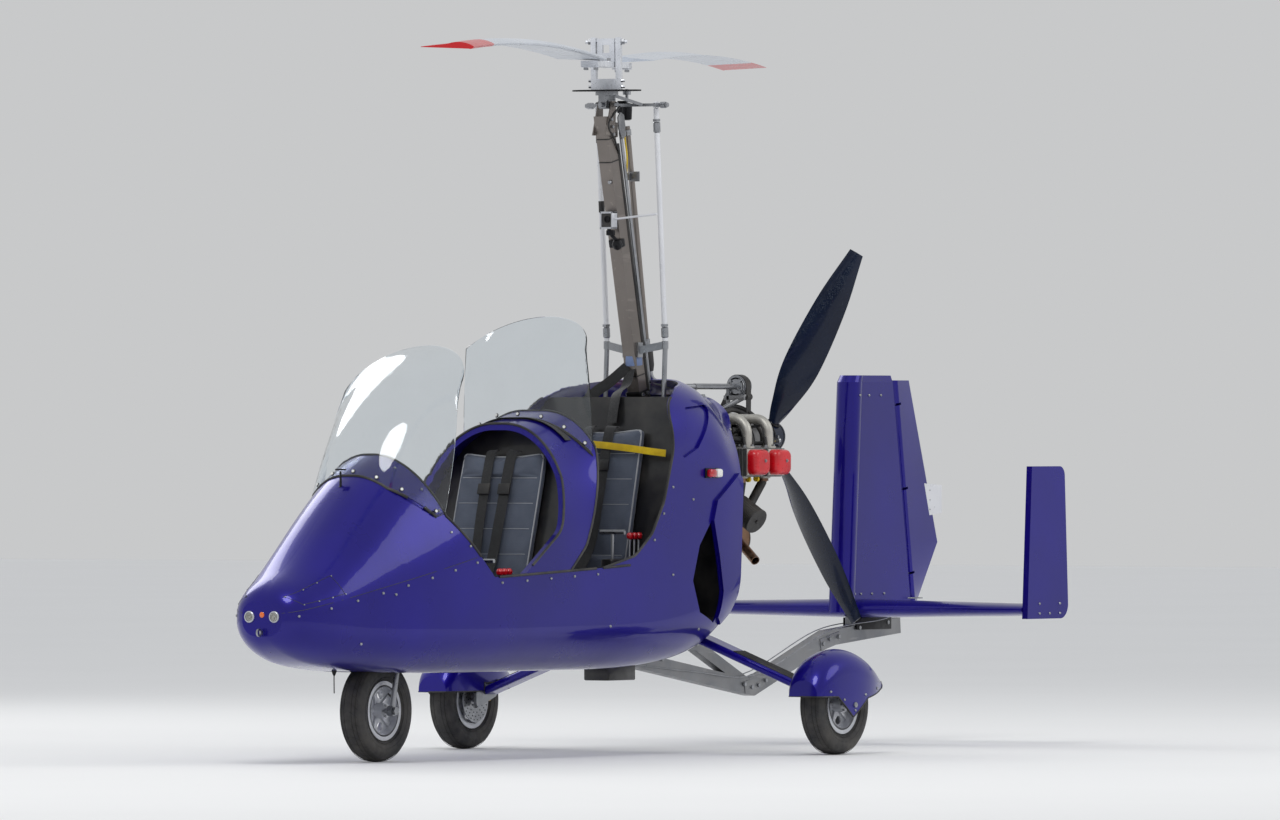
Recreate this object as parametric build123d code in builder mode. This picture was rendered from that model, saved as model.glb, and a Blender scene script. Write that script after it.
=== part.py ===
from build123d import *
import math
import os

# Open two-seat gyrocopter, parked on its three wheels.
# Millimetres. +Z up, the nose towards -Y, the port side towards +X.
# The origin lies on the ground straight below the rotor head.

# Overall places
NOSE_Y = -2440.0
WHEEL_BASE_FRONT_Y = -1655.0
MAIN_AXLE_Y = 300.0
TRACK_HALF = 890.0
SKIN = 6.0
RUNNING_GAP = 0.3
PIN_GAP = 0.05

# Wheels
TYRE_R = 200.0
TYRE_WIDTH = 104.0
RIM_R = 117.0
RIM_WALL = 6.0
HUB_R = 30.0
AXLE_R = 10.0
SPOKE_COUNT = 5

# Nose gear
STEER_RAKE_DEG = 12.0
FORK_LEG_X = 76.0
FORK_LEG_R = 11.0
FORK_CROWN_DROP = 226.0
STEER_TUBE_R = 20.0
STEER_TUBE_TOP = 360.0
STEER_SLEEVE_R = 30.0
WELL_HALF_X = 128.0
WELL_HALF_Y = 215.0
WELL_TOP_Z = 478.0

# Main gear
BOW_TOP_Z = 488.0
BOW_Y = 358.0
BOW_CHORD = 105.0
BOW_THICK = 34.0
BOW_KNEE_X = 190.0
SPAT_HALF_WIDTH = 98.0
SPAT_SKIN = 4.0
BOW_END = (TRACK_HALF - SPAT_HALF_WIDTH, 240.0)
BOW_REACH = 24.0
BRACKET_THICK = 14.0
# Spat sections: y, half width, crown height, height of the crown's arc
SPAT = (
    (66, 66, 300, 60),
    (120, 88, 366, 80),
    (210, 97, 411, 92),
    (310, 98, 422, 95),
    (430, 88, 397, 90),
    (540, 56, 348, 66),
    (638, 14, 290, 22),
)
# Lower edge of the spat's outboard side, as (y, z)
SPAT_EDGE = ((0, 236), (180, 234), (290, 152), (410, 226), (700, 272))
SPAT_INNER_EDGE_Z = 236.0

# Hull stations: y, half width, lowest z, highest z,
# lower corner half axes, upper corner half axes
HULL = (
    (NOSE_Y, 92, 500, 640, 70, 60, 70, 50),
    (-2400, 146, 456, 694, 110, 105, 136, 110),
    (-2310, 192, 414, 748, 140, 140, 182, 165),
    (-2100, 246, 374, 912, 165, 160, 236, 300),
    (-1830, 300, 355, 1130, 185, 170, 290, 470),
    (-1400, 352, 346, 1280, 205, 175, 330, 450),
    (-650, 374, 345, 1345, 215, 180, 340, 440),
    (0, 380, 362, 1512, 215, 200, 262, 270),
    (300, 372, 420, 1500, 210, 230, 280, 320),
    (560, 348, 560, 1440, 190, 260, 290, 340),
)

# Side outlines of the hull's panels, as (y, z)
SEAM_FRONT = (-2400.0, 600.0)
SEAM_REAR = (-1460.0, 800.0)
SILL_FRONT = (-1346.0, 722.0)
SILL_REAR = (-600.0, 752.0)
COWL_EDGE = ((-1700.0, 1222.0), (-1608.0, 962.0))
MID_FOOT_Y = (-1150.0, -830.0)
MID_FRONT = ((-890.0, 905.0), (-815.0, 1110.0), (-770.0, 1400.0))
MID_REAR = ((-530.0, 1400.0), (-535.0, 1230.0), (-640.0, 1010.0), (-720.0, 840.0))
MID_ROUND = 110.0
REAR_FRONT = ((-371.0, 798.0), (-250.0, 885.0), (-165.0, 1010.0), (-100.0, 1200.0), (-72.0, 1400.0),
              (100.0, 1470.0), (310.0, 1505.0), (385.0, 1600.0))
REAR_ROUND = 130.0
REAR_BACK = ((547.0, 1419.0), (528.0, 1358.0), (450.0, 1280.0), (445.0, 1130.0), (425.0, 800.0))
TUB_BACK = ((425.0, 800.0), (412.0, 632.0), (380.0, 560.0), (290.0, 475.0), (236.0, 370.0))
MID_WALL = 26.0
# Air scoop low on the hull's side: the mouth cut in the skin and the lip behind it, as (y, z)
MOUTH = ((191.0, 935.0), (100.0, 836.0), (49.0, 695.0), (102.0, 567.0), (240.0, 523.0), (262.0, 652.0),
         (232.0, 793.0))
LIP = ((407.0, 1124.0), (221.0, 1015.0), (191.0, 935.0), (235.0, 793.0), (266.0, 652.0), (244.0, 545.0),
       (300.0, 515.0), (376.0, 562.0), (408.0, 634.0), (420.0, 800.0), (438.0, 1100.0))
LIP_PROUD = 13.0
# Sunk panel on the rear cowl's shoulder, as (y, z)
POCKET = ((40.0, 1398.0), (275.0, 1412.0), (95.0, 1218.0), (-55.0, 1160.0))
POCKET_WALL = 9.0
POCKET_ROUND = 24.0
POCKET_FROM_X = 100.0
POCKET_DEPTH = 11.0

# Nose fittings
LAMP_X = 58.0
LAMP_Z = 577.0
LAMP_R = 18.0
TOW_EYE_Z = 516.0
TOW_EYE_R = 16.0
TOW_BORE_R = 8.0
TOW_EYE_THICK = 8.0

# Mast
MAST_TOP = (-26.0, 2556.0)
MAST_LEAN = 0.227
MAST_SIDE = 60.0
MAST_WALL = 4.0
CHEEK_THICK = 5.0
CHEEK_GAP = 28.0

# Rotor head
HEAD_Z = 2604.0
HEAD_TILT_DEG = 1.0
GIMBAL_HALF = 22.0
GIMBAL_PIN_R = 6.0
HEAD_PLATE_Z = 38.0
SPINDLE_R = 15.0
SPINDLE_LENGTH = 52.0
RING_Z = 54.0
RING_R = 135.0
TOWER_BASE_Z = 60.0
TOWER_TOP_Z = 270.0
TOWER_HALF = 60.0
TOWER_PLATE = 20.0
TOWER_DEPTH = 62.0
TEETER_Z = 253.0
TEETER_PIN_R = 7.0
HUB_BAR_Z = 172.0
HUB_BAR_HALF = 520.0
HUB_BAR_WIDTH = 70.0
HUB_BAR_THICK = 22.0
END_PLATE_THICK = 26.0
SPAN_DEG = 25.6
ROTOR_R = 4200.0
BLADE_ROOT = 430.0
BLADE_CHORD = 200.0
BLADE_THICK = 27.0
BLADE_BEND_R = 52000.0
BLADE_RISE = 0.038
ARM_Y = 112.0
ROD_X = 140.0
ROD_Y = 147.0
ROD_R = 11.0
LEVER_Z = 1640.0
LEVER_Y = 214.0
LOWER_ROD_FOOT = (150.0, 462.0)

# Propeller
PROP_Y = 1215.0
PROP_Z = 1270.0
PROP_FIRST_DEG = 30.0

# Engine
CRANK_Y = 726.0
CRANK_Z = 1167.0
CYLINDER_STEP = 160.0
CYLINDER_R = 52.0

# Tail
KEEL_WIDTH = 50.0
KEEL_TALL = 64.0
KEEL_WALL = 4.0
TOP_BAR_FRONT_Y = 308.0
TOP_BAR_REAR_Y = 640.0
TOP_BAR_TALL = 48.0
KEEL = ((-60.0, 408.0), (1060.0, 245.0), (1640.0, 440.0), (2190.0, 486.0))
TAIL_SKIN = 4.0
HINGE_TOP = (2163.0, 1520.0)
HINGE_LOW = (2305.0, 580.0)
STAB_HALF = 850.0
STAB_LE_Y = 1800.0
STAB_CHORD = 330.0
STAB_Z = 560.0
STAB_THICK = 78.0
STAB_TIP_THICK = 50.0
STAB_POST_Y = (1860.0, 2080.0)
# Fin sections: height, leading edge y, half thickness; rudder sections: height, trailing edge y
FIN = ((545.0, 1716.0, 39.0), (1494.0, 1780.0, 36.0), (1522.0, 1800.0, 24.0))
RUDDER = ((582.0, 2352.0), (829.0, 2516.0), (1502.0, 2290.0))
RUDDER_NOSE_R = 26.0
HINGE_LEVELS = (700.0, 1050.0, 1400.0)
HINGE_EAR_R = 10.0
HINGE_EAR_LENGTH = 38.0
HINGE_EAR_THICK = 8.0
HINGE_PIN_R = 4.0
HINGE_NOTCH_GAP = 1.0

SIDES = (("left", 1.0), ("right", -1.0))
MAST_FOOT_Z = BOW_TOP_Z - BOW_THICK
TOP_BAR_Z = MAST_FOOT_Z - TOP_BAR_TALL / 2
finished = {}


def bar(start, end, wide, tall, across=(1, 0, 0)):
    """A straight bar of rectangular section from start to end, wide along across."""
    run = Vector(*end) - Vector(*start)
    with BuildSketch(Plane(origin=start, x_dir=across, z_dir=run)) as section:
        Rectangle(wide, tall)
    extrude(section.sketch, amount=run.length)


def rod(start, end, radius, across=(1, 0, 0), mode=Mode.ADD):
    """A straight round rod from start to end."""
    run = Vector(*end) - Vector(*start)
    with BuildSketch(Plane(origin=start, x_dir=across, z_dir=run)) as section:
        Circle(radius)
    extrude(section.sketch, amount=run.length, mode=mode)


def side_plate(points, x_from, x_to, mode=Mode.ADD, rounds=0.0, inset=0.0):
    """A plate whose outline is given in side view as (y, z), from x_from to x_to."""
    with BuildSketch(Plane.YZ.offset(x_from)) as outline:
        with BuildLine():
            FilletPolyline(*points, radius=rounds, close=True)
        make_face()
        if inset:
            offset(amount=-inset, mode=Mode.REPLACE)
    extrude(outline.sketch, amount=x_to - x_from, mode=mode)


def hull_section(station, inset):
    """The hull's closed outline at one station, moved inwards by inset."""
    y, half, low, high, low_a, low_b, high_a, high_b = station
    half, low, high = half - inset, low + inset, high - inset
    low_a, low_b = low_a - inset, low_b - inset
    high_a, high_b = high_a - inset, high_b - inset
    with BuildSketch(Plane(origin=(0, y, 0), x_dir=(1, 0, 0), z_dir=(0, -1, 0))) as outline:
        with BuildLine():
            Line((low_a - half, low), (half - low_a, low))
            EllipticalCenterArc((half - low_a, low + low_b), low_a, low_b, -90, arc_size=90)
            Line((half, low + low_b), (half, high - high_b))
            EllipticalCenterArc((half - high_a, high - high_b), high_a, high_b, 0, arc_size=90)
            Line((half - high_a, high), (high_a - half, high))
            EllipticalCenterArc((high_a - half, high - high_b), high_a, high_b, 90, arc_size=90)
            Line((-half, high - high_b), (-half, low + low_b))
            EllipticalCenterArc((low_a - half, low + low_b), low_a, low_b, 180, arc_size=90)
        make_face()
    return outline.sketch


def hull_solid(inset):
    """The whole hull as one closed solid, moved inwards by inset."""
    front = (HULL[0][0] + min(inset, SKIN),) + HULL[0][1:]
    stations = (front,) + HULL[1:]
    return loft([hull_section(station, inset) for station in stations], mode=Mode.PRIVATE)


def sill_z(y):
    """The height of the cockpit sill, a straight line in side view."""
    share = (y - SILL_FRONT[0]) / (SILL_REAR[0] - SILL_FRONT[0])
    return SILL_FRONT[1] + share * (SILL_REAR[1] - SILL_FRONT[1])


hull_outer = hull_solid(0)
hull_inner = hull_solid(SKIN)
hull_thick_inner = hull_solid(MID_WALL)
pocket_face = hull_solid(POCKET_DEPTH)
pocket_deep = hull_solid(POCKET_DEPTH + SKIN)
lip_outer = hull_solid(-LIP_PROUD)
lip_inner = hull_solid(-RUNNING_GAP)
rake = math.radians(STEER_RAKE_DEG)
steer_point = Vector(0, WHEEL_BASE_FRONT_Y, TYRE_R)
steer_up = Vector(0, math.sin(rake), math.cos(rake))
FAR = 600.0

# Body tub: the lower shell with the nose wheel's well
with BuildPart() as well_block:
    with Locations((0, WHEEL_BASE_FRONT_Y, WELL_TOP_Z / 2)):
        Box(2 * (WELL_HALF_X + SKIN), 2 * (WELL_HALF_Y + SKIN), WELL_TOP_Z)
    add(hull_outer, mode=Mode.INTERSECT)
with BuildPart() as keel_slot:
    bar((0, *KEEL[0]), (0, *KEEL[1]), KEEL_WIDTH + 2 * RUNNING_GAP, KEEL_TALL + 2 * RUNNING_GAP)
    bar((0, TOP_BAR_FRONT_Y, TOP_BAR_Z), (0, 900, TOP_BAR_Z), KEEL_WIDTH + 2 * RUNNING_GAP, 110)
with BuildPart() as body_tub:
    add(hull_outer)
    add(hull_inner, mode=Mode.SUBTRACT)
    side_plate(
        (SEAM_FRONT, SEAM_REAR, SILL_FRONT, SILL_REAR, TUB_BACK[0], (900, 800), (900, 2000),
         (-3000, 2000), (-3000, SEAM_FRONT[1])),
        -FAR, FAR, mode=Mode.SUBTRACT)
    side_plate(TUB_BACK + ((236, 200), (900, 200), (900, 801)), -FAR, FAR, mode=Mode.SUBTRACT)
    add(well_block.part)
    with Locations((0, WHEEL_BASE_FRONT_Y, (WELL_TOP_Z - SKIN) / 2)):
        Box(2 * WELL_HALF_X, 2 * WELL_HALF_Y, WELL_TOP_Z - SKIN, mode=Mode.SUBTRACT)
    rod(steer_point + steer_up * 255, steer_point + steer_up * 350, STEER_SLEEVE_R)
    rod(steer_point + steer_up * 240, steer_point + steer_up * 352, STEER_TUBE_R + PIN_GAP,
        mode=Mode.SUBTRACT)
    add(keel_slot.part, mode=Mode.SUBTRACT)
    side_plate(MOUTH, -FAR, FAR, mode=Mode.SUBTRACT)
    for side, sign in SIDES:
        rod((sign * LAMP_X, NOSE_Y - 20, LAMP_Z), (sign * LAMP_X, NOSE_Y + 40, LAMP_Z), LAMP_R + RUNNING_GAP,
            mode=Mode.SUBTRACT)
finished["body_tub"] = body_tub.part

# Nose cowl: the upper front shell up to the instrument hood
with BuildPart() as nose_cowl:
    add(hull_outer)
    add(hull_inner, mode=Mode.SUBTRACT)
    side_plate(((-3000, SEAM_FRONT[1]), SEAM_FRONT, SEAM_REAR, SILL_FRONT, COWL_EDGE[1],
                COWL_EDGE[0], (-1700, 1600), (-3000, 1600)), -FAR, FAR, mode=Mode.INTERSECT)
finished["nose_cowl"] = nose_cowl.part

# Mid cowl: the hoop behind the front seat
with BuildPart() as mid_cowl:
    add(hull_outer)
    add(hull_thick_inner, mode=Mode.SUBTRACT)
    mid_feet = [(y, sill_z(y)) for y in MID_FOOT_Y]
    mid_rounds = [0, MID_ROUND, MID_ROUND, 0, 0, MID_ROUND, MID_ROUND, MID_ROUND, 0]
    side_plate((mid_feet[0], *MID_FRONT, *MID_REAR, mid_feet[1]), -FAR, FAR, mode=Mode.INTERSECT,
               rounds=mid_rounds)
finished["mid_cowl"] = mid_cowl.part

# Rear cowl: the shell round the rear seat's back and the mast's foot
pockets = []
for side, sign in SIDES:
    across = (sign * POCKET_FROM_X, sign * FAR)
    with BuildPart() as pocket_wall:
        add(hull_outer)
        add(pocket_deep, mode=Mode.SUBTRACT)
        side_plate(POCKET, *across, mode=Mode.INTERSECT, rounds=POCKET_ROUND)
        side_plate(POCKET, *across, mode=Mode.SUBTRACT, rounds=POCKET_ROUND, inset=POCKET_WALL)
    with BuildPart() as pocket_floor:
        add(pocket_face)
        add(pocket_deep, mode=Mode.SUBTRACT)
        side_plate(POCKET, *across, mode=Mode.INTERSECT, rounds=POCKET_ROUND, inset=POCKET_WALL)
    pockets.append((across, pocket_wall.part, pocket_floor.part))
with BuildPart() as rear_cowl:
    add(hull_outer)
    add(hull_inner, mode=Mode.SUBTRACT)
    rear_rounds = [0] + [REAR_ROUND] * (len(REAR_FRONT) - 1) + [0, 0, 0, 30, 60, 0, 0]
    side_plate((SILL_REAR, *REAR_FRONT, (547, 1600), *REAR_BACK), -FAR, FAR, mode=Mode.INTERSECT,
               rounds=rear_rounds)
    side_plate(MOUTH, -FAR, FAR, mode=Mode.SUBTRACT)
    for across, wall, floor in pockets:
        side_plate(POCKET, *across, mode=Mode.SUBTRACT, rounds=POCKET_ROUND, inset=POCKET_WALL)
        add(wall)
        add(floor)
finished["rear_cowl"] = rear_cowl.part

# Side scoops: the lips behind the mouths, proud of the skin
for side, sign in SIDES:
    with BuildPart() as scoop:
        add(lip_outer)
        add(lip_inner, mode=Mode.SUBTRACT)
        side_plate(LIP, sign * POCKET_FROM_X, sign * FAR, mode=Mode.INTERSECT)
    finished[f"{side}_scoop"] = scoop.part


def mast_y(z):
    """The mast's axis in side view."""
    return MAST_TOP[0] + (MAST_TOP[1] - z) * MAST_LEAN


# Rear bulkhead, just ahead of the mast
BULKHEAD = ((229.0, 1225.0), (322.0, 800.0), (318.0, 545.0), (276.0, 480.0), (252.0, 380.0))
BULKHEAD_THICK = 5.0
liner_space = hull_solid(SKIN + RUNNING_GAP)
with BuildPart() as rear_bulkhead:
    side_plate(BULKHEAD + tuple((y - BULKHEAD_THICK, z) for y, z in reversed(BULKHEAD)), -FAR, FAR)
    add(liner_space, mode=Mode.INTERSECT)
finished["rear_bulkhead"] = rear_bulkhead.part


# Windscreens: port edge y, z, half width, centre y, z at three heights
FRONT_SCREEN = (
    (-1618, 930, 290, -1850, 1098),
    (-1545, 1230, 296, -1610, 1440),
    (-1475, 1455, 268, -1280, 1628),
)
REAR_SCREEN = (
    (-572, 1140, 300, -665, 1310),
    (-578, 1400, 302, -580, 1560),
    (-592, 1622, 286, -420, 1748),
)
SCREEN_THICK = 4.0
for name, table in (("front_windscreen", FRONT_SCREEN), ("rear_windscreen", REAR_SCREEN)):
    arcs = []
    for port_y, port_z, half, centre_y, centre_z in table:
        with BuildLine() as arc:
            ThreePointArc((half, port_y, port_z), (0, centre_y, centre_z), (-half, port_y, port_z))
        arcs.append(arc.wire())
    with BuildPart() as screen:
        thicken(Shell.make_loft(arcs).face(), amount=-SCREEN_THICK)
        add(hull_outer, mode=Mode.SUBTRACT)
    finished[name] = screen.part

# Stabilizer with its two end plates: thickest at the middle, hollow and open at its tips
STAB_STATIONS = ((-STAB_HALF, STAB_TIP_THICK), (0.0, STAB_THICK), (STAB_HALF, STAB_TIP_THICK))
STAB_NOSE = 84.0
STAB_TAIL_THICK = 8.0


def stab_section(x, thick, inset):
    """The stabilizer's section at one place across, moved inwards by inset."""
    front_y, nose_y, rear_y = STAB_LE_Y + inset, STAB_LE_Y + STAB_NOSE, STAB_LE_Y + STAB_CHORD - 8 * inset
    half, tail = thick / 2 - inset, STAB_TAIL_THICK / 2 - 0.3 * inset
    with BuildSketch(Plane.YZ.offset(x)) as section:
        with BuildLine():
            EllipticalCenterArc((nose_y, STAB_Z), nose_y - front_y, half, 90, arc_size=180)
            Line((nose_y, STAB_Z + half), (rear_y, STAB_Z + tail))
            Line((rear_y, STAB_Z + tail), (rear_y, STAB_Z - tail))
            Line((rear_y, STAB_Z - tail), (nose_y, STAB_Z - half))
        make_face()
    return section.sketch


stabilizer_block = loft([stab_section(*row, 0) for row in STAB_STATIONS], ruled=True, mode=Mode.PRIVATE)
with BuildPart() as stabilizer:
    add(stabilizer_block)
    loft([stab_section(*row, TAIL_SKIN) for row in STAB_STATIONS], ruled=True, mode=Mode.SUBTRACT)
finished["stabilizer"] = stabilizer.part
for side, sign in SIDES:
    with BuildPart() as end_plate:
        with BuildSketch(Plane.YZ.offset(sign * STAB_HALF)) as outline:
            with BuildLine():
                FilletPolyline((1806, 523), (2130, 523), (2099, 1148), (1842, 1148), radius=(60, 40))
                Line((1842, 1148), (1806, 523))
            make_face()
        extrude(amount=sign * END_PLATE_THICK)
    finished[f"{side}_end_plate"] = end_plate.part


def hinge_y(z):
    """The rudder's hinge line in side view."""
    share = (z - HINGE_LOW[1]) / (HINGE_TOP[1] - HINGE_LOW[1])
    return HINGE_LOW[0] + share * (HINGE_TOP[0] - HINGE_LOW[0])


def fin_section(z, edge_y, half, inset):
    """One level section of the fin, moved inwards by inset."""
    front_y, rear_y = edge_y + inset, hinge_y(z) - RUDDER_NOSE_R - 8 - inset
    half = half - inset
    with BuildSketch(Plane.XY.offset(z)) as section:
        with BuildLine():
            ThreePointArc((half, edge_y + 90), (0, front_y), (-half, edge_y + 90))
            Line((-half, edge_y + 90), (-half * 0.62, rear_y))
            Line((-half * 0.62, rear_y), (half * 0.62, rear_y))
            Line((half * 0.62, rear_y), (half, edge_y + 90))
        make_face()
    return section.sketch


def hinge_plane(z):
    """The plane square to the hinge line at one level, with local y towards the tail."""
    upward = Vector(0, HINGE_TOP[0] - HINGE_LOW[0], HINGE_TOP[1] - HINGE_LOW[1])
    return Plane(origin=(0, hinge_y(z), z), x_dir=(1, 0, 0), z_dir=upward)


# Fin, ahead of the hinge line, hollow and open at its root
with BuildPart() as fin:
    loft([fin_section(z, edge_y, half, 0) for z, edge_y, half in FIN], ruled=True)
    add(stabilizer_block, mode=Mode.SUBTRACT)
    core_levels = ((FIN[0][0] - 1, *FIN[0][1:]), (FIN[1][0] - 10, *FIN[1][1:]))
    loft([fin_section(z, edge_y, half, TAIL_SKIN) for z, edge_y, half in core_levels], ruled=True,
         mode=Mode.SUBTRACT)
    for z in HINGE_LEVELS:
        with BuildSketch(hinge_plane(z)) as ear:
            with Locations((0, -HINGE_EAR_LENGTH / 2)):
                Rectangle(2 * HINGE_EAR_R, HINGE_EAR_LENGTH)
            Circle(HINGE_EAR_R)
            Circle(HINGE_PIN_R + PIN_GAP, mode=Mode.SUBTRACT)
        extrude(ear.sketch, amount=HINGE_EAR_THICK)
finished["fin"] = fin.part

# Rudder, turning about the hinge line, and its trim tab
with BuildPart() as rudder:
    rudder_faces = []
    for z, edge_y in RUDDER:
        nose = hinge_y(z)
        with BuildSketch(Plane.XY.offset(z)) as section:
            with BuildLine():
                ThreePointArc((RUDDER_NOSE_R, nose), (0, nose - RUDDER_NOSE_R), (-RUDDER_NOSE_R, nose))
                Line((-RUDDER_NOSE_R, nose), (-3, edge_y))
                Line((-3, edge_y), (3, edge_y))
                Line((3, edge_y), (RUDDER_NOSE_R, nose))
            make_face()
        rudder_faces.append(section.sketch)
    loft(rudder_faces, ruled=True)
    for z in HINGE_LEVELS:
        with BuildSketch(hinge_plane(z).offset(-HINGE_NOTCH_GAP)) as notch:
            with Locations((0, (HINGE_EAR_R + 6 - 40) / 2)):
                Rectangle(2 * RUDDER_NOSE_R + 20, HINGE_EAR_R + 6 + 40)
        extrude(notch.sketch, amount=HINGE_EAR_THICK + 2 * HINGE_NOTCH_GAP, mode=Mode.SUBTRACT)
        with BuildSketch(hinge_plane(z).offset(-HINGE_NOTCH_GAP - 4)) as pin:
            Circle(HINGE_PIN_R)
        extrude(pin.sketch, amount=HINGE_EAR_THICK + 2 * HINGE_NOTCH_GAP + 8)
finished["rudder"] = rudder.part
with BuildPart() as trim_tab:
    side_plate(((2440, 940), (2546, 950), (2546, 1066), (2404, 1074)), 4, 6)
    add(rudder.part, mode=Mode.SUBTRACT)
finished["trim_tab"] = trim_tab.part

# Keel and its strut
with BuildPart() as keel_bore:
    bore_ends = (KEEL[0], *KEEL[1:-1], (KEEL[-1][0] + 20, KEEL[-1][1] + 2))
    for first, last in zip(bore_ends[:-1], bore_ends[1:]):
        bar((0, *first), (0, *last), KEEL_WIDTH - 2 * KEEL_WALL, KEEL_TALL - 2 * KEEL_WALL)
    for y, z in KEEL[1:3]:
        rod((KEEL_WALL - KEEL_WIDTH / 2, y, z), (KEEL_WIDTH / 2 - KEEL_WALL, y, z),
            KEEL_TALL / 2 - KEEL_WALL, across=(0, 1, 0))
with BuildPart() as keel:
    for first, last in zip(KEEL[:-1], KEEL[1:]):
        bar((0, *first), (0, *last), KEEL_WIDTH, KEEL_TALL)
    for y, z in KEEL[1:3]:
        rod((-KEEL_WIDTH / 2, y, z), (KEEL_WIDTH / 2, y, z), KEEL_TALL / 2, across=(0, 1, 0))
    bar((0, TOP_BAR_FRONT_Y, TOP_BAR_Z), (0, TOP_BAR_REAR_Y, TOP_BAR_Z), KEEL_WIDTH, TOP_BAR_TALL)
    bar((0, TOP_BAR_REAR_Y - 12, TOP_BAR_Z), (0, *KEEL[1]), KEEL_WIDTH - 10, TOP_BAR_TALL)
    bar((0, BOW_Y, TOP_BAR_Z), (0, BOW_Y, 350), KEEL_WIDTH, 80)
    for y in STAB_POST_Y:
        bar((0, y, 470), (0, y, STAB_Z - STAB_THICK / 2 + 3), KEEL_WIDTH, 46)
    add(stabilizer_block, mode=Mode.SUBTRACT)
    add(keel_bore.part, mode=Mode.SUBTRACT)
finished["keel"] = keel.part

# Mast with the cheek plates of the rotor head
with BuildPart() as mast:
    side_plate(((mast_y(MAST_FOOT_Z) - MAST_SIDE / 2, MAST_FOOT_Z),
                (mast_y(MAST_FOOT_Z) + MAST_SIDE / 2, MAST_FOOT_Z),
                (MAST_TOP[0] + MAST_SIDE / 2, MAST_TOP[1]), (MAST_TOP[0] - MAST_SIDE / 2, MAST_TOP[1])),
               -CHEEK_GAP, CHEEK_GAP)
    bore_side = MAST_SIDE / 2 - MAST_WALL
    bore_low, bore_high = MAST_FOOT_Z - 20, MAST_TOP[1] + 20
    side_plate(((mast_y(bore_low) - bore_side, bore_low), (mast_y(bore_low) + bore_side, bore_low),
                (mast_y(bore_high) + bore_side, bore_high), (mast_y(bore_high) - bore_side, bore_high)),
               MAST_WALL - CHEEK_GAP, CHEEK_GAP - MAST_WALL, mode=Mode.SUBTRACT)
    for side, sign in SIDES:
        side_plate(((-60, 2480), (12, 2480), (16, HEAD_Z + 14), (-16, HEAD_Z + 14)),
                   sign * CHEEK_GAP, sign * (CHEEK_GAP + CHEEK_THICK))
    rod((-60, 0, HEAD_Z), (60, 0, HEAD_Z), GIMBAL_PIN_R + PIN_GAP, across=(0, 1, 0), mode=Mode.SUBTRACT)
finished["mast"] = mast.part

head_plane = Plane(
    origin=(0, 0, HEAD_Z), x_dir=(1, 0, 0),
    z_dir=(0, -math.sin(math.radians(HEAD_TILT_DEG)), math.cos(math.radians(HEAD_TILT_DEG))))

# Gimbal block with its pitch pin across and its roll pin fore and aft
with BuildPart() as gimbal_block:
    with Locations((0, 0, HEAD_Z)):
        Box(2 * GIMBAL_HALF, 2 * GIMBAL_HALF, 2 * GIMBAL_HALF - 10)
    rod((-40, 0, HEAD_Z), (40, 0, HEAD_Z), GIMBAL_PIN_R, across=(0, 1, 0))
    rod((0, -42, HEAD_Z), (0, 42, HEAD_Z), GIMBAL_PIN_R)
finished["gimbal_block"] = gimbal_block.part

# Head frame: lugs, bearing housing and the fork arm that the control rods hold
with BuildPart() as head_frame:
    with BuildSketch(head_plane.offset(HEAD_PLATE_Z)):
        Circle(46)
    extrude(amount=RING_Z - HEAD_PLATE_Z - RUNNING_GAP)
    with BuildSketch(head_plane.offset(HEAD_PLATE_Z)):
        Circle(SPINDLE_R)
    extrude(amount=SPINDLE_LENGTH)
    for sign in (-1, 1):
        with Locations((0, sign * 31, HEAD_Z + 14)):
            Box(36, 9, 56)
    for side, sign in SIDES:
        bar((sign * 14, 40, HEAD_Z + 36), (sign * 100, ARM_Y - 4, HEAD_Z), 12, 16, across=(0, 0, 1))
    bar((-164, ARM_Y, HEAD_Z), (164, ARM_Y, HEAD_Z), 16, 12, across=(0, 1, 0))
    for side, sign in SIDES:
        with Locations((sign * 159, ARM_Y + 20, HEAD_Z)):
            Box(10, 56, 16)
        rod((sign * 164, ROD_Y, HEAD_Z), (sign * 186, ROD_Y, HEAD_Z), 13, across=(0, 1, 0))
    rod((0, -60, HEAD_Z), (0, 60, HEAD_Z), GIMBAL_PIN_R + PIN_GAP, mode=Mode.SUBTRACT)
finished["head_frame"] = head_frame.part

rotor_axis = head_plane.z_dir
span_dir = Vector(math.sin(math.radians(SPAN_DEG)), -math.cos(math.radians(SPAN_DEG)), 0)
span_dir = (span_dir - rotor_axis * span_dir.dot(rotor_axis)).normalized()
rotor_plane = Plane(origin=(0, 0, HEAD_Z), x_dir=span_dir, z_dir=rotor_axis)

# Rotor tower: base, two plates and the ring gear; local x along the span
with BuildPart() as rotor_tower:
    with BuildSketch(rotor_plane.offset(TOWER_BASE_Z)):
        Rectangle(TOWER_DEPTH, 2 * TOWER_HALF)
    extrude(amount=44)
    with BuildSketch(rotor_plane.offset(TOWER_BASE_Z)):
        for sign in (-1, 1):
            with Locations((0, sign * (TOWER_HALF - TOWER_PLATE / 2))):
                Rectangle(TOWER_DEPTH, TOWER_PLATE)
    extrude(amount=TOWER_TOP_Z - TOWER_BASE_Z)
    with BuildSketch(rotor_plane.offset(TOWER_BASE_Z)):
        Circle(SPINDLE_R + PIN_GAP)
    extrude(amount=HEAD_PLATE_Z + SPINDLE_LENGTH - TOWER_BASE_Z + 2, mode=Mode.SUBTRACT)
    teeter_start = rotor_plane.from_local_coords((0, -90, TEETER_Z))
    teeter_end = rotor_plane.from_local_coords((0, 90, TEETER_Z))
    rod(teeter_start, teeter_end, TEETER_PIN_R + PIN_GAP, across=span_dir, mode=Mode.SUBTRACT)
finished["rotor_tower"] = rotor_tower.part

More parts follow.
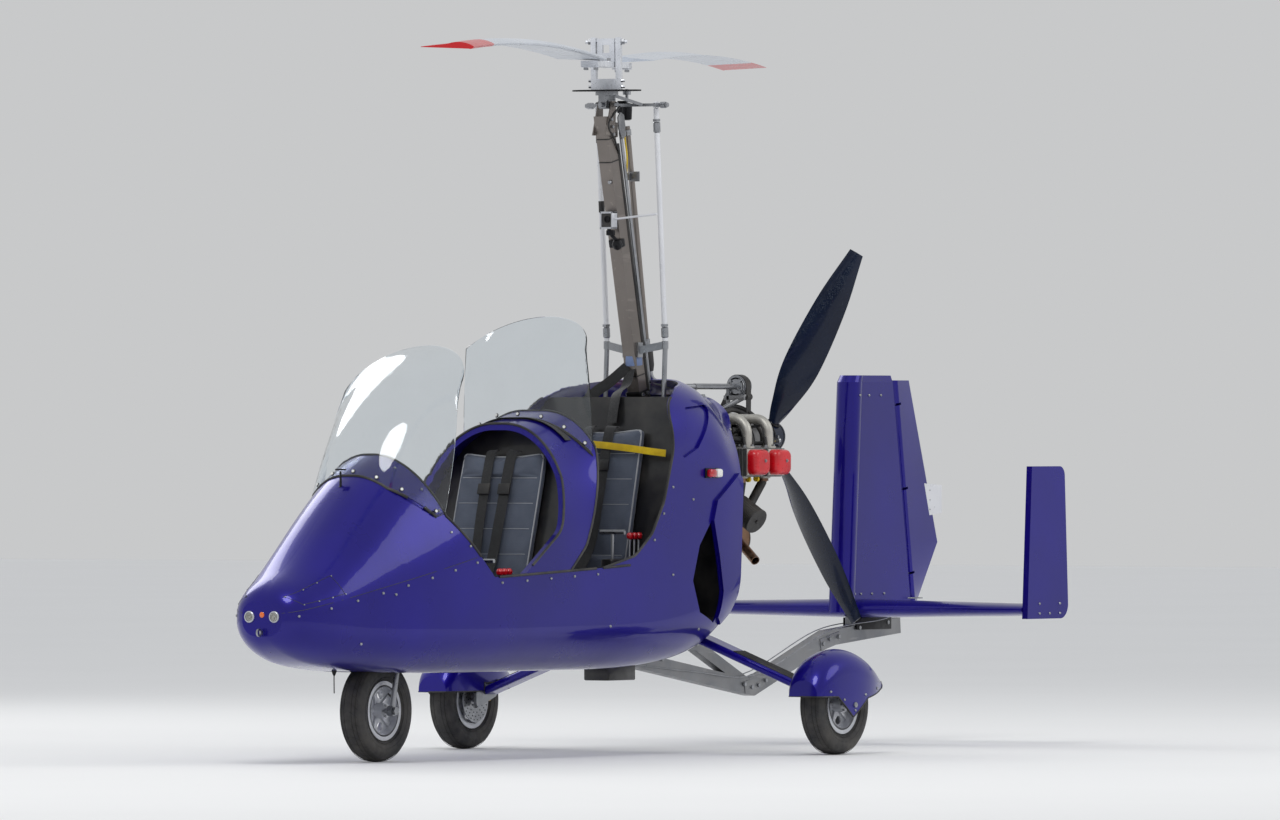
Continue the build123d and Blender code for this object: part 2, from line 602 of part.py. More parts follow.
with BuildPart() as ring_gear:
    with BuildSketch(rotor_plane.offset(RING_Z)):
        Circle(RING_R)
        Circle(SPINDLE_R + PIN_GAP, mode=Mode.SUBTRACT)
    extrude(amount=TOWER_BASE_Z - RING_Z)
finished["ring_gear"] = ring_gear.part

# Teeter block with its window, its bolt and the hub bar
BLOCK_HALF = 35.0
with BuildPart() as teeter_block:
    with BuildSketch(rotor_plane.offset(HUB_BAR_Z)):
        Rectangle(40, 2 * BLOCK_HALF)
    extrude(amount=TOWER_TOP_Z - 4 - HUB_BAR_Z)
    with BuildSketch(rotor_plane.offset(208)):
        Rectangle(60, 28)
    extrude(amount=32, mode=Mode.SUBTRACT)
    rod(rotor_plane.from_local_coords((0, -84, TEETER_Z)), rotor_plane.from_local_coords((0, 84, TEETER_Z)),
        TEETER_PIN_R, across=span_dir)
    with BuildSketch(rotor_plane.offset(HUB_BAR_Z - HUB_BAR_THICK)):
        Rectangle(2 * HUB_BAR_HALF, HUB_BAR_WIDTH)
    extrude(amount=HUB_BAR_THICK)
finished["teeter_block"] = teeter_block.part

# Rotor blades: an aerofoil swept round a wide arc, so that it droops to the tip
for name, turn in (("front_rotor_blade", 1), ("rear_rotor_blade", -1)):
    blade_out = span_dir * turn
    blade_plane = Plane(origin=(0, 0, HEAD_Z), x_dir=blade_out, z_dir=rotor_axis)
    root = blade_plane.from_local_coords((BLADE_ROOT, 0, HUB_BAR_Z + BLADE_THICK * 0.3 + RUNNING_GAP))
    with BuildPart() as blade:
        with BuildSketch(Plane(origin=root, x_dir=blade_plane.y_dir, z_dir=blade_out)) as aerofoil:
            with BuildLine():
                ThreePointArc((BLADE_CHORD * 0.3, 0), (BLADE_CHORD * 0.08, BLADE_THICK * 0.62),
                              (-BLADE_CHORD * 0.2, BLADE_THICK * 0.42))
                Line((-BLADE_CHORD * 0.2, BLADE_THICK * 0.42), (-BLADE_CHORD * 0.7, 2))
                Line((-BLADE_CHORD * 0.7, 2), (-BLADE_CHORD * 0.7, 0))
                Line((-BLADE_CHORD * 0.7, 0), (BLADE_CHORD * 0.2, -BLADE_THICK * 0.3))
                ThreePointArc((BLADE_CHORD * 0.2, -BLADE_THICK * 0.3),
                              (BLADE_CHORD * 0.28, -BLADE_THICK * 0.2), (BLADE_CHORD * 0.3, 0))
            make_face()
        bend_centre = blade_plane.from_local_coords(
            (BLADE_ROOT + BLADE_BEND_R * BLADE_RISE, 0, HUB_BAR_Z - BLADE_BEND_R))
        revolve(axis=Axis(bend_centre, blade_plane.y_dir),
                revolution_arc=math.degrees((ROTOR_R - BLADE_ROOT) / BLADE_BEND_R))
    finished[name] = blade.part

# Control rods, their levers on the mast and the shaft of the prerotator
for side, sign in SIDES:
    with BuildPart() as control_rod:
        rod((sign * ROD_X, LEVER_Y, LEVER_Z + 17.3), (sign * ROD_X, ROD_Y, HEAD_Z - 14), ROD_R)
        rod((sign * (ROD_X - 7), ROD_Y, HEAD_Z), (sign * (ROD_X + 7), ROD_Y, HEAD_Z), 14, across=(0, 1, 0))
    finished[f"{side}_control_rod"] = control_rod.part
with BuildPart() as rod_levers:
    for side, sign in SIDES:
        with Locations((sign * (CHEEK_GAP + RUNNING_GAP + 5), mast_y(LEVER_Z) + 8, LEVER_Z - 20)):
            Box(10, 34, 60)
        bar((sign * (CHEEK_GAP + 8), mast_y(LEVER_Z) + 8, LEVER_Z - 20), (sign * ROD_X, LEVER_Y, LEVER_Z),
            30, 10, across=(0, 0, 1))
        rod((sign * ROD_X, LEVER_Y, LEVER_Z - 16), (sign * ROD_X, LEVER_Y, LEVER_Z + 16), ROD_R + 2)
        rod((sign * ROD_X, LEVER_Y, LEVER_Z - 16), (sign * ROD_X, *LOWER_ROD_FOOT), ROD_R - 1)
    rod((-ROD_X - 12, *LOWER_ROD_FOOT), (ROD_X + 12, *LOWER_ROD_FOOT), 13, across=(0, 1, 0))
    rod((0, *LOWER_ROD_FOOT), (0, LOWER_ROD_FOOT[0], 412.0), 12)
finished["rod_levers"] = rod_levers.part

# Wheels: rim with spokes, and tyre; then what carries each
TYRE_WALL = 9.0
FLANGE_X = 40.0
BEAD_R = 101.5
wheel_places = (
    ("nose", 0.0, WHEEL_BASE_FRONT_Y), ("left", TRACK_HALF, MAIN_AXLE_Y), ("right", -TRACK_HALF, MAIN_AXLE_Y))
for name, x, y in wheel_places:
    middle = Plane(origin=(x, y, TYRE_R), x_dir=(1, 0, 0), z_dir=(0, -1, 0))
    wheel_axis = Axis((x, y, TYRE_R), (1, 0, 0))
    with BuildPart() as tyre:
        with BuildSketch(middle):
            with BuildLine():
                Line((-FLANGE_X + 5.3, BEAD_R + 0.3), (FLANGE_X - 5.3, BEAD_R + 0.3))
                Line((FLANGE_X - 5.3, BEAD_R + 0.3), (FLANGE_X - 5.3, RIM_R + 2))
                ThreePointArc((FLANGE_X - 5.3, RIM_R + 2), (TYRE_WIDTH / 2, 155), (44, 186))
                ThreePointArc((44, 186), (0, TYRE_R), (-44, 186))
                ThreePointArc((-44, 186), (-TYRE_WIDTH / 2, 155), (5.3 - FLANGE_X, RIM_R + 2))
                Line((5.3 - FLANGE_X, RIM_R + 2), (5.3 - FLANGE_X, BEAD_R + 0.3))
            make_face()
            with BuildLine():
                ThreePointArc((-27, BEAD_R + 12), (-TYRE_WIDTH / 2 + TYRE_WALL, 155), (-36, 180))
                ThreePointArc((-36, 180), (0, TYRE_R - 12), (36, 180))
                ThreePointArc((36, 180), (TYRE_WIDTH / 2 - TYRE_WALL, 155), (27, BEAD_R + 12))
                Line((27, BEAD_R + 12), (-27, BEAD_R + 12))
            make_face(mode=Mode.SUBTRACT)
        revolve(axis=wheel_axis)
    finished[f"{name}_tyre"] = tyre.part
    with BuildPart() as rim:
        with BuildSketch(middle):
            with Locations((0, BEAD_R - RIM_WALL / 2)):
                Rectangle(2 * FLANGE_X, RIM_WALL)
            with Locations((-FLANGE_X + 2.5, (BEAD_R + RIM_R) / 2), (FLANGE_X - 2.5, (BEAD_R + RIM_R) / 2)):
                Rectangle(5, RIM_R - BEAD_R)
            with Locations((0, (BEAD_R + AXLE_R + PIN_GAP) / 2)):
                Rectangle(9, BEAD_R - AXLE_R - PIN_GAP)
            with Locations((0, (HUB_R + AXLE_R + PIN_GAP) / 2)):
                Rectangle(92, HUB_R - AXLE_R - PIN_GAP)
        revolve(axis=wheel_axis)
        with BuildSketch(Plane.YZ.offset(x - 20)) as windows:
            with Locations((y, TYRE_R)):
                with PolarLocations(66, SPOKE_COUNT):
                    SlotOverall(40, 32, rotation=90)
        extrude(windows.sketch, amount=40, mode=Mode.SUBTRACT)
    finished[f"{name}_rim"] = rim.part

# Nose fork with its steering tube, crown, legs and axle
with BuildPart() as nose_fork:
    crown_low = steer_point + steer_up * FORK_CROWN_DROP
    rod(crown_low, steer_point + steer_up * STEER_TUBE_TOP, STEER_TUBE_R)
    bar(crown_low - steer_up * 8, crown_low + steer_up * 12, 2 * FORK_LEG_X + 24, 46)
    for side, sign in SIDES:
        leg_out = Vector(sign * FORK_LEG_X, 0, 0)
        rod(steer_point + leg_out, crown_low + leg_out, FORK_LEG_R)
        rod(steer_point + Vector(sign * (FORK_LEG_X - 14), 0, 0),
            steer_point + Vector(sign * (FORK_LEG_X + 10), 0, 0),
            20, across=(0, 1, 0))
    rod(steer_point - Vector(FORK_LEG_X + 14, 0, 0), steer_point + Vector(FORK_LEG_X + 14, 0, 0), AXLE_R,
        across=(0, 1, 0))
finished["nose_fork"] = nose_fork.part

# Gear bow
with BuildPart() as gear_bow:
    with BuildLine(Plane(origin=(0, BOW_Y, 0), x_dir=(1, 0, 0), z_dir=(0, -1, 0))) as bow_path:
        bow_z = BOW_TOP_Z - BOW_THICK / 2
        bow_fall = (bow_z - BOW_END[1]) / (BOW_END[0] - BOW_KNEE_X)
        tip = (BOW_END[0] + BOW_REACH, BOW_END[1] - BOW_REACH * bow_fall)
        FilletPolyline((-tip[0], tip[1]), (-BOW_KNEE_X, bow_z), (BOW_KNEE_X, bow_z), tip, radius=420)
    start_dir = bow_path.line % 0
    with BuildSketch(Plane(origin=bow_path.line @ 0, x_dir=(0, 1, 0), z_dir=start_dir)):
        RectangleRounded(BOW_CHORD, BOW_THICK, 15)
    sweep(path=bow_path.line)
    with Locations((BOW_END[0] + 50, BOW_Y, 240), (-BOW_END[0] - 50, BOW_Y, 240)):
        Box(100, 200, 200, mode=Mode.SUBTRACT)
finished["gear_bow"] = gear_bow.part

# Main axles with their brackets
BRACKET_X = BOW_END[0] + SPAT_SKIN + RUNNING_GAP
AXLE_END_X = TRACK_HALF + SPAT_HALF_WIDTH - SPAT_SKIN - 1.0
for side, sign in SIDES:
    with BuildPart() as axle:
        side_plate(((250, 165), (400, 215), (400, 264), (300, 264), (250, 235)),
                   sign * BRACKET_X, sign * (BRACKET_X + BRACKET_THICK), rounds=18)
        side_plate(((BOW_Y - 44, 226), (BOW_Y + 44, 226), (BOW_Y + 44, 254), (BOW_Y - 44, 254)),
                   sign * (BOW_END[0] + RUNNING_GAP), sign * (BRACKET_X + 2))
        rod((sign * (BRACKET_X + 1), MAIN_AXLE_Y, TYRE_R), (sign * AXLE_END_X, MAIN_AXLE_Y, TYRE_R),
            AXLE_R, across=(0, 1, 0))
    finished[f"{side}_axle"] = axle.part


def spat_section(centre_x, station, inset):
    """One upright section of a spat: straight sides under a half ellipse."""
    y, half, crown, arc = station
    half, crown, arc = half - inset, crown - inset, arc - inset
    with BuildSketch(Plane(origin=(centre_x, y, 0), x_dir=(1, 0, 0), z_dir=(0, -1, 0))) as section:
        with BuildLine():
            Line((-half, 100), (half, 100))
            Line((half, 100), (half, crown - arc))
            EllipticalCenterArc((0, crown - arc), half, arc, 0, arc_size=180)
            Line((-half, crown - arc), (-half, 100))
        make_face()
    return section.sketch


# Spats: a rounded hood with a pointed tail and an outboard flap down to the axle's end
for side, sign in SIDES:
    centre_x = sign * TRACK_HALF
    core_front = (SPAT[0][0] + SPAT_SKIN, *SPAT[0][1:])
    core_rear = (SPAT[-1][0] - 3 * SPAT_SKIN, *SPAT[-1][1:])
    core = (core_front, *SPAT[1:-1], core_rear)
    with BuildPart() as spat:
        loft([spat_section(centre_x, station, 0) for station in SPAT])
        loft([spat_section(centre_x, station, SPAT_SKIN) for station in core], mode=Mode.SUBTRACT)
        side_plate(((0, 0),) + SPAT_EDGE + ((700, 0),), centre_x, centre_x + sign * 300, mode=Mode.SUBTRACT)
        side_plate(((0, 0), (0, SPAT_INNER_EDGE_Z), (410, SPAT_INNER_EDGE_Z), (700, SPAT_EDGE[-1][1]),
                    (700, 0)),
                   centre_x, centre_x - sign * 300, mode=Mode.SUBTRACT)
        side_plate(((BOW_Y - 58, 190), (BOW_Y + 58, 190), (BOW_Y + 58, 270), (BOW_Y - 58, 270)),
                   sign * (BOW_END[0] - 12), sign * (BRACKET_X + BRACKET_THICK + 6), mode=Mode.SUBTRACT)
    finished[f"{side}_spat"] = spat.part

# Propeller
prop_centre = Vector(0, PROP_Y, PROP_Z)
with BuildPart() as prop_hub:
    rod((0, 1150, PROP_Z), (0, 1240, PROP_Z), 62)
    with BuildSketch(Plane(origin=(0, 1240, PROP_Z), x_dir=(1, 0, 0), z_dir=(0, 1, 0))):
        Circle(50)
    extrude(amount=50, taper=30)
finished["prop_hub"] = prop_hub.part
# Blade stations: radius, chord, thickness, twist in degrees
PROP_BLADE = ((58, 46, 44, 60), (150, 96, 30, 48), (330, 152, 20, 30), (620, 132, 13, 18), (865, 62, 7, 12))
with BuildPart() as prop_blades:
    for turn in range(3):
        angle = math.radians(PROP_FIRST_DEG + 120 * turn)
        out = Vector(math.sin(angle), 0, math.cos(angle))
        along = Vector(0, 1, 0).cross(out)
        blade_faces = []
        for radius, chord, thick, twist in PROP_BLADE:
            swing = math.radians(twist)
            chord_dir = along * math.cos(swing) + Vector(0, 1, 0) * math.sin(swing)
            lens_centre = prop_centre - Vector(0, 18, 0) + out * radius
            with BuildSketch(Plane(origin=lens_centre, x_dir=chord_dir, z_dir=out)) as lens:
                with BuildLine():
                    ThreePointArc((-chord / 2, 0), (0, thick / 2), (chord / 2, 0))
                    ThreePointArc((chord / 2, 0), (0, -thick / 2), (-chord / 2, 0))
                make_face()
            blade_faces.append(lens.sketch)
        loft(blade_faces)
    add(prop_hub.part, mode=Mode.SUBTRACT)
finished["prop_blades"] = prop_blades.part

# Engine: crankcase with its gearbox, cylinders, rocker covers, intake, filter and exhaust
with BuildPart() as engine_block:
    with Locations((0, CRANK_Y, CRANK_Z)):
        Box(150, 330, 190)
    rod((0, CRANK_Y + 165, PROP_Z - 20), (0, 1040, PROP_Z - 20), 84)
    rod((0, 1030, PROP_Z), (0, 1149.9, PROP_Z), 48)
    bar((0, CRANK_Y + 120, CRANK_Z + 80), (0, CRANK_Y + 200, CRANK_Z + 80), 120, 120)
finished["engine_block"] = engine_block.part
with BuildPart() as cylinders:
    for side, sign in SIDES:
        for step in (-0.5, 0.5):
            y = CRANK_Y + step * CYLINDER_STEP
            rod((sign * 75.3, y, CRANK_Z), (sign * 210, y, CRANK_Z), CYLINDER_R, across=(0, 1, 0))
            with Locations((sign * 250, y, CRANK_Z)):
                Box(84, 128, 112)
finished["cylinders"] = cylinders.part
with BuildPart() as rocker_covers:
    for side, sign in SIDES:
        for step in (-0.5, 0.5):
            with Locations((sign * (292.3 + 22), CRANK_Y + step * CYLINDER_STEP, CRANK_Z)):
                Box(44, 118, 104)
    fillet(rocker_covers.edges(), 12)
finished["rocker_covers"] = rocker_covers.part
with BuildPart() as intake_manifold:
    for side, sign in SIDES:
        for step in (-0.5, 0.5):
            y = CRANK_Y + step * CYLINDER_STEP
            with BuildLine(Plane(origin=(0, y, 0), x_dir=(1, 0, 0), z_dir=(0, -1, 0))) as bend:
                FilletPolyline((sign * 40, CRANK_Z + 175), (sign * 255, CRANK_Z + 175),
                               (sign * 255, CRANK_Z + 56.3), radius=60)
            with BuildSketch(Plane(origin=bend.line @ 0, x_dir=(0, 1, 0), z_dir=bend.line % 0)) as ring:
                Circle(20)
            sweep(ring.sketch, path=bend.line)
    with Locations((0, CRANK_Y, CRANK_Z + 170)):
        Box(90, 260, 60)
    bar((0, CRANK_Y, CRANK_Z + 95.3), (0, CRANK_Y, CRANK_Z + 150), 60, 60)
finished["intake_manifold"] = intake_manifold.part
with BuildPart() as exhaust:
    rod((-250, 620, 860), (250, 620, 860), 56, across=(0, 1, 0))
    for side, sign in SIDES:
        for step in (-0.5, 0.5):
            y = CRANK_Y + step * CYLINDER_STEP
            rod((sign * 230, y, CRANK_Z - 56.3), (sign * 230, y, CRANK_Z - 76), 22)
            rod((sign * 230, y, CRANK_Z - 72), (sign * 200, 640, 880), 17)
    rod((230, 620, 850), (350, 560, 770), 19)
    rod((-247, 620, 860), (247, 620, 860), 53, across=(0, 1, 0), mode=Mode.SUBTRACT)
    rod((230, 620, 850), (362, 554, 762), 16, mode=Mode.SUBTRACT)
finished["exhaust"] = exhaust.part
with BuildPart() as air_filter:
    rod((270, 560, 985), (360, 550, 930), 50)
    rod((120, 600, 1010), (272, 560, 984), 26)
    rod((120, 600, 1010), (45, 640, 1036), 24)
    rod((45, 640, 1030), (45, 640, CRANK_Z - 95 - RUNNING_GAP), 26)
finished["air_filter"] = air_filter.part
FRAME_X = CHEEK_GAP + 13 + RUNNING_GAP
with BuildPart() as engine_frame:
    for side, sign in SIDES:
        rod((sign * 66, CRANK_Y - 190, CRANK_Z + 60), (sign * 66, CRANK_Y - 165.3, CRANK_Z + 60), 20)
        rod((sign * FRAME_X, mast_y(1330), 1330), (sign * 66, CRANK_Y - 182, CRANK_Z + 60), 13)
        rod((sign * FRAME_X, mast_y(760), 760), (sign * 66, CRANK_Y, CRANK_Z - 108), 13)
    rod((-70, CRANK_Y, CRANK_Z - 108.5), (70, CRANK_Y, CRANK_Z - 108.5), 13, across=(0, 1, 0))
finished["engine_frame"] = engine_frame.part

# Cockpit: seat liners that meet the hull's inner faces, pads, panel, sticks and levers
LINER = 5.0
FRONT_SEAT = ((-1322.0, 330.0), (-1300.0, 560.0), (-900.0, 500.0), (-672.0, 1300.0))
REAR_SEAT = ((-520.0, 330.0), (-500.0, 640.0), (-160.0, 590.0), (41.6, 1430.0))
for name, route in (("front", FRONT_SEAT), ("rear", REAR_SEAT)):
    with BuildPart() as seat_shell:
        with BuildLine(Plane.YZ) as seat_path:
            FilletPolyline(*route, radius=60)
        with BuildSketch(Plane(origin=seat_path.line @ 0, x_dir=(1, 0, 0), z_dir=seat_path.line % 0)):
            Rectangle(2 * FAR, LINER)
        sweep(path=seat_path.line)
        add(liner_space, mode=Mode.INTERSECT)
        add(mid_cowl.part, mode=Mode.SUBTRACT)
        add(rear_cowl.part, mode=Mode.SUBTRACT)
    finished[f"{name}_seat_shell"] = seat_shell.part.solids().sort_by(SortBy.VOLUME)[-1]
    pan_front, pan_rear, back_top = Vector(0, *route[1]), Vector(0, *route[2]), Vector(0, *route[3])
    pan_dir = (pan_rear - pan_front).normalized()
    back_dir = (back_top - pan_rear).normalized()
    pan_up = Vector(1, 0, 0).cross(pan_dir)
    back_out = Vector(1, 0, 0).cross(back_dir)
    lift = LINER / 2 + RUNNING_GAP + 26
    with BuildPart() as seat_pad:
        bar(pan_front + pan_dir * 60 + pan_up * lift, pan_rear - pan_dir * 75 + pan_up * lift, 420, 52)
        bar(pan_rear + back_dir * 90 + back_out * lift, pan_rear + back_dir * 730 + back_out * lift, 400, 52)
    finished[f"{name}_seat_pad"] = seat_pad.part

with BuildPart() as instrument_panel:
    side_plate(((-1706, 1230), (-1660, 880), (-1655, 880), (-1701, 1230)), -FAR, FAR)
    add(liner_space, mode=Mode.INTERSECT)
finished["instrument_panel"] = instrument_panel.part

with BuildPart() as nose_lamps:
    for side, sign in SIDES:
        rod((sign * LAMP_X, NOSE_Y - 3, LAMP_Z), (sign * LAMP_X, NOSE_Y + 14, LAMP_Z), LAMP_R)
finished["nose_lamps"] = nose_lamps.part
with BuildPart() as tow_eye:
    rod((-TOW_EYE_THICK / 2, NOSE_Y - 20, TOW_EYE_Z), (TOW_EYE_THICK / 2, NOSE_Y - 20, TOW_EYE_Z), TOW_EYE_R,
        across=(0, 1, 0))
    bar((0, NOSE_Y - 12, TOW_EYE_Z), (0, NOSE_Y, TOW_EYE_Z), TOW_EYE_THICK, 14)
    rod((-20, NOSE_Y - 20, TOW_EYE_Z), (20, NOSE_Y - 20, TOW_EYE_Z), TOW_BORE_R, across=(0, 1, 0),
        mode=Mode.SUBTRACT)
finished["tow_eye"] = tow_eye.part

os.makedirs("parts", exist_ok=True)
for label, piece in finished.items():
    piece.label = label
    export_step(piece, f"parts/{label}.step")
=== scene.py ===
import logging
import math
from dataclasses import dataclass
from enum import Enum
from typing import Callable, Iterable, Sequence

import bmesh
import bpy
from mathutils import Matrix, Vector
from mathutils.bvhtree import BVHTree


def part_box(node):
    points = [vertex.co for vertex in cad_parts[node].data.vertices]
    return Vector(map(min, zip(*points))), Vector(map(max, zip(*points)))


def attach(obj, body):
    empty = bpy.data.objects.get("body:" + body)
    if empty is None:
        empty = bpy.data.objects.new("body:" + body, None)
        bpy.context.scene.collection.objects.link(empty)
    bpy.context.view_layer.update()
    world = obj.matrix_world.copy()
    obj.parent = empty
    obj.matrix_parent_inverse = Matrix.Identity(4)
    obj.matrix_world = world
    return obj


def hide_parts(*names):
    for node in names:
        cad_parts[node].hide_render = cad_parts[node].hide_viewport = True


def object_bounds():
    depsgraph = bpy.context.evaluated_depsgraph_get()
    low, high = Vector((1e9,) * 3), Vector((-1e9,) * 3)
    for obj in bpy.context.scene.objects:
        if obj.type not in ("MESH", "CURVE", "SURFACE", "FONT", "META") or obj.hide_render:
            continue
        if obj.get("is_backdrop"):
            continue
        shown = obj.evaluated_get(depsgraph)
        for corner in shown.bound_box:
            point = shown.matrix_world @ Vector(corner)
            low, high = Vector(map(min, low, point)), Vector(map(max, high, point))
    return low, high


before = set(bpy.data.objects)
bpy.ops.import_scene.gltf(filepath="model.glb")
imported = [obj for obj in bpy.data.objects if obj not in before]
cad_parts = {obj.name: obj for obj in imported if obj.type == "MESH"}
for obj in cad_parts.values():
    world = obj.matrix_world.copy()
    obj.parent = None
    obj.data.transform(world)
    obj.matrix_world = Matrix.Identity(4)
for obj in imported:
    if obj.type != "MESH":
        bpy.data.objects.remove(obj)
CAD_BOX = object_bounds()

log = logging.getLogger("gyrocopter")

Rgb = tuple[float, float, float]
Triple = tuple[float, float, float]
Pair = tuple[float, float]
Point = Vector | Triple
Hit = tuple[Vector, Vector]
Socket = bpy.types.NodeSocket
Node = bpy.types.Node
Tree = bpy.types.NodeTree
Piece = bpy.types.Object
Mesh = bpy.types.Mesh
Material = bpy.types.Material
SIDES = (("left", 1.0), ("right", -1.0))
UP = Vector((0.0, 0.0, 1.0))
ACROSS = Vector((1.0, 0.0, 0.0))
AFT = Vector((0.0, 1.0, 0.0))
MM = 0.001
SEAT_ROUTES = (("front", ((-1.3, 0.56), (-0.9, 0.5), (-0.672, 1.3))),
               ("rear", ((-0.5, 0.64), (-0.16, 0.59), (0.0416, 1.43))))


class Body(Enum):
    """The moving bodies of the aircraft."""

    AIRFRAME = "airframe"
    NOSE_FORK = "nose_fork"
    NOSE_WHEEL = "nose_wheel"
    LEFT_WHEEL = "left_wheel"
    RIGHT_WHEEL = "right_wheel"
    PROPELLER = "propeller"
    RUDDER = "rudder"
    GIMBAL = "gimbal"
    HEAD = "head"
    TOWER = "tower"
    ROTOR = "rotor"


def srgb(red: int, green: int, blue: int) -> Rgb:
    """Turns a screen colour into the linear one that shaders read.

    Args:
        red: Red from 0 to 255.
        green: Green from 0 to 255.
        blue: Blue from 0 to 255.

    Returns:
        The linear colour.
    """
    shares = (channel / 255.0 for channel in (red, green, blue))
    return tuple(s / 12.92 if s <= 0.04045 else ((s + 0.055) / 1.055) ** 2.4 for s in shares)


class NodeTree:
    """Adds nodes and links to one shader or geometry tree."""

    def __init__(self, tree: Tree) -> None:
        """Keeps the tree that is being filled."""
        self.tree = tree

    def add(self, kind: str, **settings: object) -> Node:
        """Adds one node.

        Args:
            kind: The node's type name.
            **settings: Properties of the node to set.

        Returns:
            The new node.
        """
        node = self.tree.nodes.new(kind)
        for key, value in settings.items():
            setattr(node, key, value)
        return node

    def link(self, source: Socket, target: Socket) -> None:
        """Links two sockets."""
        self.tree.links.new(source, target)

    def feed(self, socket: Socket, value: object) -> None:
        """Links a socket to another, or gives it a number, a colour or another plain value."""
        if isinstance(value, Socket):
            self.link(value, socket)
        elif isinstance(value, tuple) and len(value) == 3 and socket.type == "RGBA":
            socket.default_value = (*value, 1.0)
        else:
            socket.default_value = value

    def place(self) -> Socket:
        """Adds the object's own coordinates."""
        return self.add("ShaderNodeTexCoord").outputs["Object"]

    def fill(self, node: Node, values: dict[str, object]) -> None:
        """Feeds several of a node's inputs, by their names."""
        for label, value in values.items():
            self.feed(node.inputs[label], value)

    def group(self, group: Tree, values: dict[str, object]) -> bpy.types.NodeOutputs:
        """Adds a node group and returns its outputs.

        Args:
            group: The group.
            values: What its inputs are fed, by their names.

        Returns:
            The group's outputs.
        """
        node = self.add("ShaderNodeGroup", node_tree=group)
        self.fill(node, values)
        return node.outputs

    def math(self, operation: str, first: object, second: object = 0.0, clamp: bool = False) -> Socket:
        """Adds a math node.

        Args:
            operation: The operation's name.
            first: A socket or a number.
            second: A socket or a number.
            clamp: Whether the result stays between 0 and 1.

        Returns:
            The result's socket.
        """
        node = self.add("ShaderNodeMath", operation=operation, use_clamp=clamp)
        self.feed(node.inputs[0], first)
        self.feed(node.inputs[1], second)
        return node.outputs[0]

    def mix(self, share: object, first: object, second: object) -> Socket:
        """Mixes two colours.

        Args:
            share: A socket or a number, 0 for the first colour.
            first: A colour socket or colour.
            second: A colour socket or colour.

        Returns:
            The mixed colour's socket.
        """
        node = self.add("ShaderNodeMix", data_type="RGBA")
        for name, value in (("Factor", share), ("A", first), ("B", second)):
            kind = "VALUE" if name == "Factor" else "RGBA"
            self.feed(next(s for s in node.inputs if s.name == name and s.type == kind), value)
        return next(s for s in node.outputs if s.type == "RGBA")

    def noise(self, vector: Socket, scale: object, detail: float = 3.0) -> Socket:
        """Adds a noise texture and returns its value.

        Args:
            vector: The coordinates.
            scale: A socket or number, in patches per metre.
            detail: How many finer layers it has.

        Returns:
            The noise value's socket.
        """
        node = self.add("ShaderNodeTexNoise")
        node.inputs["Detail"].default_value = detail
        self.link(vector, node.inputs["Vector"])
        self.feed(node.inputs["Scale"], scale)
        return node.outputs["Fac"]

    def ramp(self, value: Socket, low: object, high: object,
             to_low: object = 0.0, to_high: object = 1.0) -> Socket:
        """Maps a value from one range to another, clamped.

        Args:
            value: The value's socket.
            low: Start of the range read.
            high: End of the range read.
            to_low: What the start becomes.
            to_high: What the end becomes.

        Returns:
            The mapped value's socket.
        """
        node = self.add("ShaderNodeMapRange")
        self.link(value, node.inputs["Value"])
        for name, part in (("From Min", low), ("From Max", high), ("To Min", to_low), ("To Max", to_high)):
            self.feed(node.inputs[name], part)
        return node.outputs["Result"]


